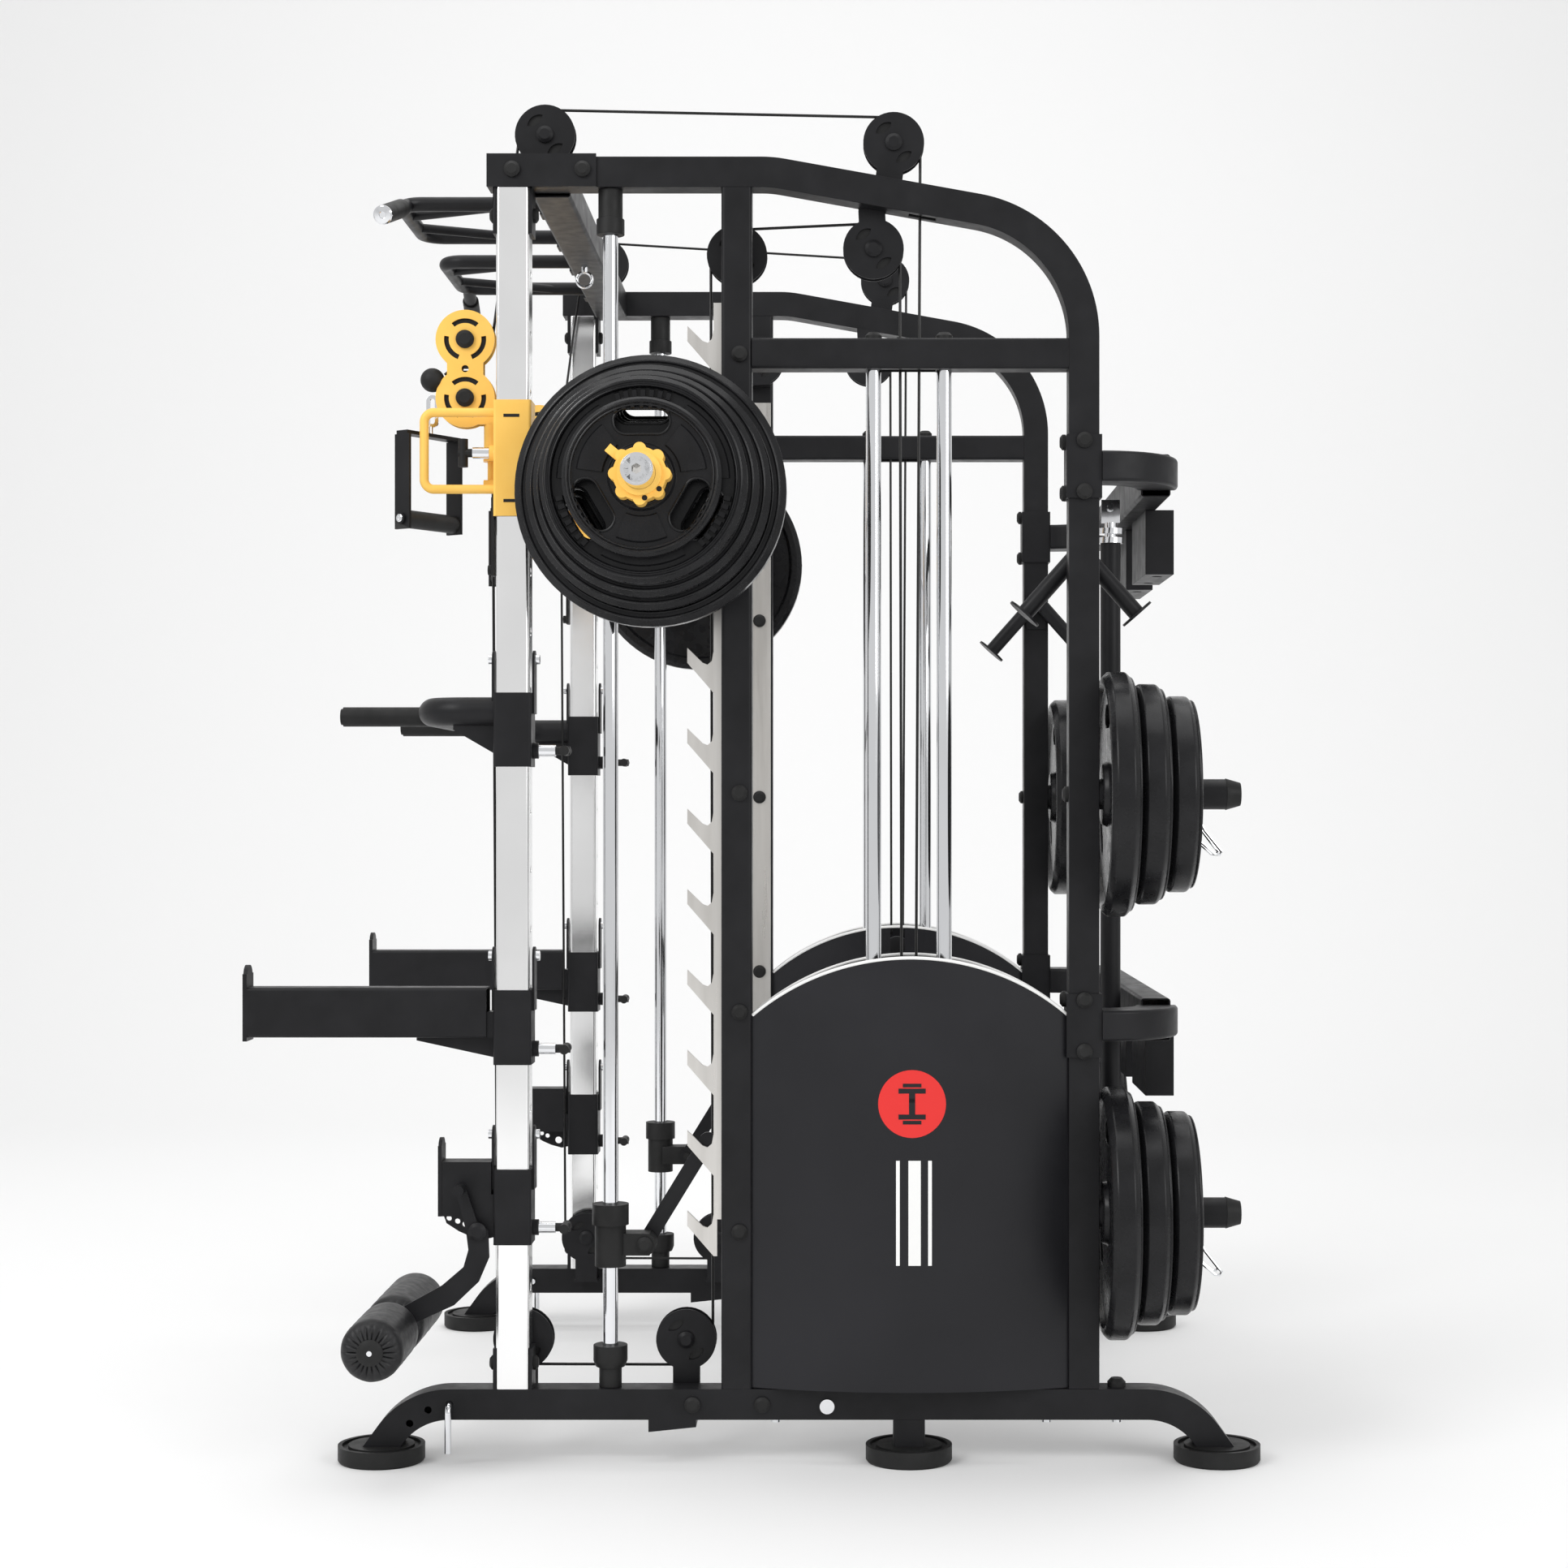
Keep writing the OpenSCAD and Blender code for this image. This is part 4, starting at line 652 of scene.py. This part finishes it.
def decal(name, cells, material, mirror, lift=0.0):
    """Thin raised print on the outer cover: cells are quads of (y, z) corners."""
    verts, faces = [], []
    for cell in cells:
        base = len(verts)
        count = len(cell)
        for proud in (0.05 + lift, 0.55 + lift):
            for y, z in cell:
                p = cover_point(y, z, proud)
                verts.append(Vector((p.x * mirror, p.y, p.z)) * MM)
        faces.append(tuple(base + count + k for k in range(count)))
        faces.append(tuple(base + k for k in range(count - 1, -1, -1)))
        faces += [(base + k, base + (k + 1) % count, base + count + (k + 1) % count,
                   base + count + k) for k in range(count)]
    mesh = mesh_of(name, verts, faces)
    tidy(mesh)
    piece = new_object(name, mesh, material, "frame", 50)


EMBLEM_Z = 592.0
EMBLEM_R = 55.0


def disc_cells(cy, cz, r0, r1, a0=0.0, a1=360.0, steps=48):
    """Ring of quads between two radii."""
    cells = []
    for k in range(steps):
        a, b = (math.radians(a0 + (a1 - a0) * (k + j) / steps) for j in (0, 1))
        ring = [(cy + r0 * math.cos(a), cz + r0 * math.sin(a)),
                (cy + r1 * math.cos(a), cz + r1 * math.sin(a)),
                (cy + r1 * math.cos(b), cz + r1 * math.sin(b)),
                (cy + r0 * math.cos(b), cz + r0 * math.sin(b))]
        cells.append(ring if r0 > 0 else ring[1:])
    return cells


def bar_cells(y0, y1, z0, z1, steps=6):
    return [[(y0, z0 + (z1 - z0) * k / steps), (y1, z0 + (z1 - z0) * k / steps),
             (y1, z0 + (z1 - z0) * (k + 1) / steps), (y0, z0 + (z1 - z0) * (k + 1) / steps)]
            for k in range(steps)]


def emblem(side, mirror):
    """Generic mark: a red roundel with a plain upright dumbbell, and three plain stripes."""
    mid = COVER_MID + 2
    decal(f"emblem_disc_{side}", disc_cells(mid, EMBLEM_Z, 0, EMBLEM_R), "red", mirror)
    core = bar_cells(mid - 5, mid + 5, EMBLEM_Z - 17, EMBLEM_Z + 17)
    for sense in (-1, 1):
        core += bar_cells(mid - 22, mid + 22, *sorted((EMBLEM_Z + sense * 17,
                                                       EMBLEM_Z + sense * 25)), 1)
        core += bar_cells(mid - 15, mid + 15, *sorted((EMBLEM_Z + sense * 27,
                                                       EMBLEM_Z + sense * 33)), 1)
    decal(f"emblem_dumbbell_{side}", core, "cover", mirror, 0.5)
    for number, (low, high) in enumerate(((-26, -20), (-6, 14), (26, 32)), 1):
        decal(f"cover_stripe_{number}_{side}", bar_cells(mid + low, mid + high, 330, 500, 8),
              "white", mirror)


for side_name, mirror_sign in SIDES:
    emblem(side_name, mirror_sign)


# ---- foam rollers ----
ROLLER_Y, ROLLER_Z = -588.0, 223.0


def roller(name, x0, x1):
    """Vinyl skin drawn tight over a foam tube and gathered into pleats at both ends."""
    profile = [(9.4, 0.0, 0.0), (13, 0.2, 0.2), (17, 0.6, 0.7), (22, 1.4, 1.0), (27, 2.3, 1.0),
               (32, 3.0, 0.85), (37, 4.3, 0.6), (41, 6.4, 0.35), (44.6, 9.6, 0.18),
               (47.2, 13.6, 0.08), (48.8, 18.4, 0.03), (49.4, 24.0, 0.0)]
    run = [(49.4 + 0.25 * math.sin(k * 1.7), 24 + (x1 - x0 - 48) * k / 12, 0.0)
           for k in range(1, 12)]
    back = [(r, x1 - x0 - h, p) for r, h, p in reversed(profile)]
    around = 192
    verts = []
    for k in range(around):
        a = 2 * math.pi * k / around
        fold = 1 - abs(math.sin(11 * a + 0.35 * math.sin(3 * a)))
        for i, (r, h, pleat) in enumerate(profile + run + back):
            sense = 1 if i < len(profile) + 6 else -1
            depth = sense * 3.4 * pleat * fold ** 2
            slack = 0.35 * math.sin(5 * a + i) * (1 if h > 20 else 0)
            rr = r - 0.5 * pleat * fold - abs(slack)
            verts.append(Vector((x0 + h + depth, ROLLER_Y + rr * math.cos(a),
                                 ROLLER_Z + rr * math.sin(a))) * MM)
    n = len(profile) * 2 + len(run)
    faces = [(k * n + i, ((k + 1) % around) * n + i,
              ((k + 1) % around) * n + (i + 1) % n, k * n + (i + 1) % n)
             for k in range(around) for i in range(n)]
    mesh = mesh_of(name, verts, faces)
    tidy(mesh)
    piece = new_object(name, mesh, "vinyl", "leg_rollers", 50)
    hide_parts("foam_rollers")


foam_tubes = sorted(solids("foam_rollers"), key=lambda s: s[0].x)
for place_name, (roller_low, roller_high) in zip(("inner", "outer"), foam_tubes):
    roller(f"foam_roller_{place_name}", roller_low.x, roller_high.x)

for cap_name, cap_x in (("outer", 1), ("inner", -1)):
    cap_at = foam_tubes[-1][1].x if cap_x > 0 else foam_tubes[0][0].x
    lathe(f"roller_cap_{cap_name}", [(0, -2), (21, -2), (21, 0.8), (18.5, 3.4), (10, 5.6),
                                     (4.4, 6.2), (4.4, 4.4), (0, 4.4)],
          (cap_at, ROLLER_Y, ROLLER_Z), (cap_x, 0, 0), "rubber", "leg_arm")
    lathe(f"roller_bolt_{cap_name}", [(0, 4.2), (4.2, 4.2), (4.2, 5.2), (0, 5.2)],
          (cap_at, ROLLER_Y, ROLLER_Z), (cap_x, 0, 0), "chrome", "leg_arm", 24)


# ---- smaller pieces ----
def block(name, low, high, material, body):
    """Plain rectangular piece between two corners in millimetres."""
    corners = [(x, y, z) for x in (low[0], high[0]) for y in (low[1], high[1])
               for z in (low[2], high[2])]
    faces = [(0, 1, 3, 2), (4, 6, 7, 5), (0, 4, 5, 1), (2, 3, 7, 6), (0, 2, 6, 4), (1, 5, 7, 3)]
    mesh = mesh_of(name, [Vector(c) * MM for c in corners], faces)
    tidy(mesh)
    new_object(name, mesh, material, body)


GRIP_TURN = -34.0                 # degrees that the D-handle is turned about the vertical


def small_pieces():
    bar_y, bar_z, sleeve_end = -161.0, 1581.0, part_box("smith_bar")[1].x / MM
    for side, sign in SIDES:
        # Pull-up grip ends.
        lathe(f"grip_end_cap_{side}", [(0, -1), (15.8, -1), (15.8, 3.2), (13.6, 5.2), (6, 5.8),
                                       (5.2, 4.6), (0, 4.6)],
              (sign * 548, -613, 2053), (sign * 182, -12, -55), "chrome", "frame", 48)
        # Countersunk end of the loading sleeve and its bolt.
        end = (sign * (sleeve_end - 3.2), bar_y, bar_z)
        lathe(f"sleeve_ring_{side}", [(11, 2.6), (20.4, 2.6), (20.4, 3.1), (19.4, 3.2),
                                      (12, 3.2), (11, 3.15)],
              end, (sign, 0, 0), "chrome", "bar", 64)
        lathe(f"sleeve_bolt_{side}", [(0, 2.8), (9, 2.8), (9, 3.15), (8.2, 3.2), (0, 3.2)],
              end, (sign, 0, 0), "steel", "bar", 6)
        # Two thin dark discs on the lock collar's face: painted shade standing in for two recesses.
        collar_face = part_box("bar_collars")[1].x / MM - 8
        for angle in (-38, -78):
            a = math.radians(angle)
            lathe(f"collar_recess_shade_{side}_{-angle}", [(0, 0), (4.2, 0), (4.2, 0.5), (0, 0.5)],
                  (sign * collar_face, bar_y + 38 * math.cos(a), bar_z + 38 * math.sin(a)),
                  (sign, 0, 0), "rubber", "bar", 24)
        # Bright bolts on both ends of the D-handle's grip.
        turn = math.radians(GRIP_TURN)
        for end, sense in (("near", 1), ("far", -1)):
            lathe(f"d_handle_bolt_{end}_{side}", [(0, 0), (6.5, 0), (6.5, 1.6), (5, 2.4),
                                                  (2.6, 2.4), (2.6, 1.2), (0, 1.2)],
                  (sign * (530 + sense * 69.5 * math.cos(turn)),
                   -540 + sense * 69.5 * math.sin(turn), GRIP_Z),
                  (sign * sense * math.cos(turn), sense * math.sin(turn), 0),
                  "chrome", f"d_handle_{side}", 32)
        # Thin dark blocks on the trainer carriage's outer face: painted shade standing in for two
        # slots.
        for place, z in (("upper", 1712), ("lower", 1573)):
            block(f"trainer_slot_{place}_{side}", (min(sign * 610.8, sign * 611.3), -406, z - 2.6),
                  (max(sign * 610.8, sign * 611.3), -380, z + 2.6), "rubber",
                  f"trainer_carriage_{side}")


small_pieces()


# ---- stage and light ----
def plain_surface(name, colour, rough):
    material = bpy.data.materials.new(name)
    material.use_nodes = True
    bsdf = material.node_tree.nodes["Principled BSDF"]
    bsdf.inputs["Base Color"].default_value = (*colour, 1)
    bsdf.inputs["Roughness"].default_value = rough
    return material


def add_stage():
    """Pale floor that turns up into a wall behind the machine."""
    far, near, wide, bend_r = -7.0, 9.0, 16.0, 3.0
    profile = [(near, 0.0), (far + bend_r, 0.0)]
    profile += [(far + bend_r - bend_r * math.sin(a), bend_r - bend_r * math.cos(a))
                for a in (math.pi / 2 * k / 16 for k in range(1, 17))]
    profile.append((far, 9.0))
    verts = [(x, y, z) for x, z in profile for y in (-wide, wide)]
    faces = [(2 * i, 2 * i + 1, 2 * i + 3, 2 * i + 2) for i in range(len(profile) - 1)]
    mesh = bpy.data.meshes.new("backdrop")
    mesh.from_pydata(verts, [], faces)
    mesh.materials.append(plain_surface("pale_floor", (0.86, 0.86, 0.86), 0.9))
    for polygon in mesh.polygons:
        polygon.use_smooth = True
    floor = bpy.data.objects.new("backdrop", mesh)
    scene.collection.objects.link(floor)


def area_light(name, place, target, size, energy):
    data = bpy.data.lights.new(name, "AREA")
    data.shape = "RECTANGLE"
    data.size, data.size_y = size
    data.energy = energy
    light = bpy.data.objects.new(name, data)
    light.location = place
    aim = Vector(target) - Vector(place)
    light.rotation_euler = aim.to_track_quat("-Z", "Y").to_euler()
    scene.collection.objects.link(light)


def add_lights():
    world = bpy.data.worlds.new("studio")
    world.use_nodes = True
    world.node_tree.nodes["Background"].inputs["Color"].default_value = (1, 1, 1, 1)
    world.node_tree.nodes["Background"].inputs["Strength"].default_value = 0.72
    scene.world = world
    area_light("key", (4.2, -3.6, 4.6), (0.3, 0, 1.1), (3.0, 3.0), 150)
    area_light("fill", (4.6, 4.2, 3.0), (0.3, 0, 1.1), (3.0, 3.0), 85)
    area_light("top", (0, 0, 5.2), (0, 0, 0), (4.5, 4.5), 90)
    area_light("wall", (-2.5, 0, 5.5), (-7, 0, 2.0), (5.0, 2.0), 60)


add_stage()
add_lights()
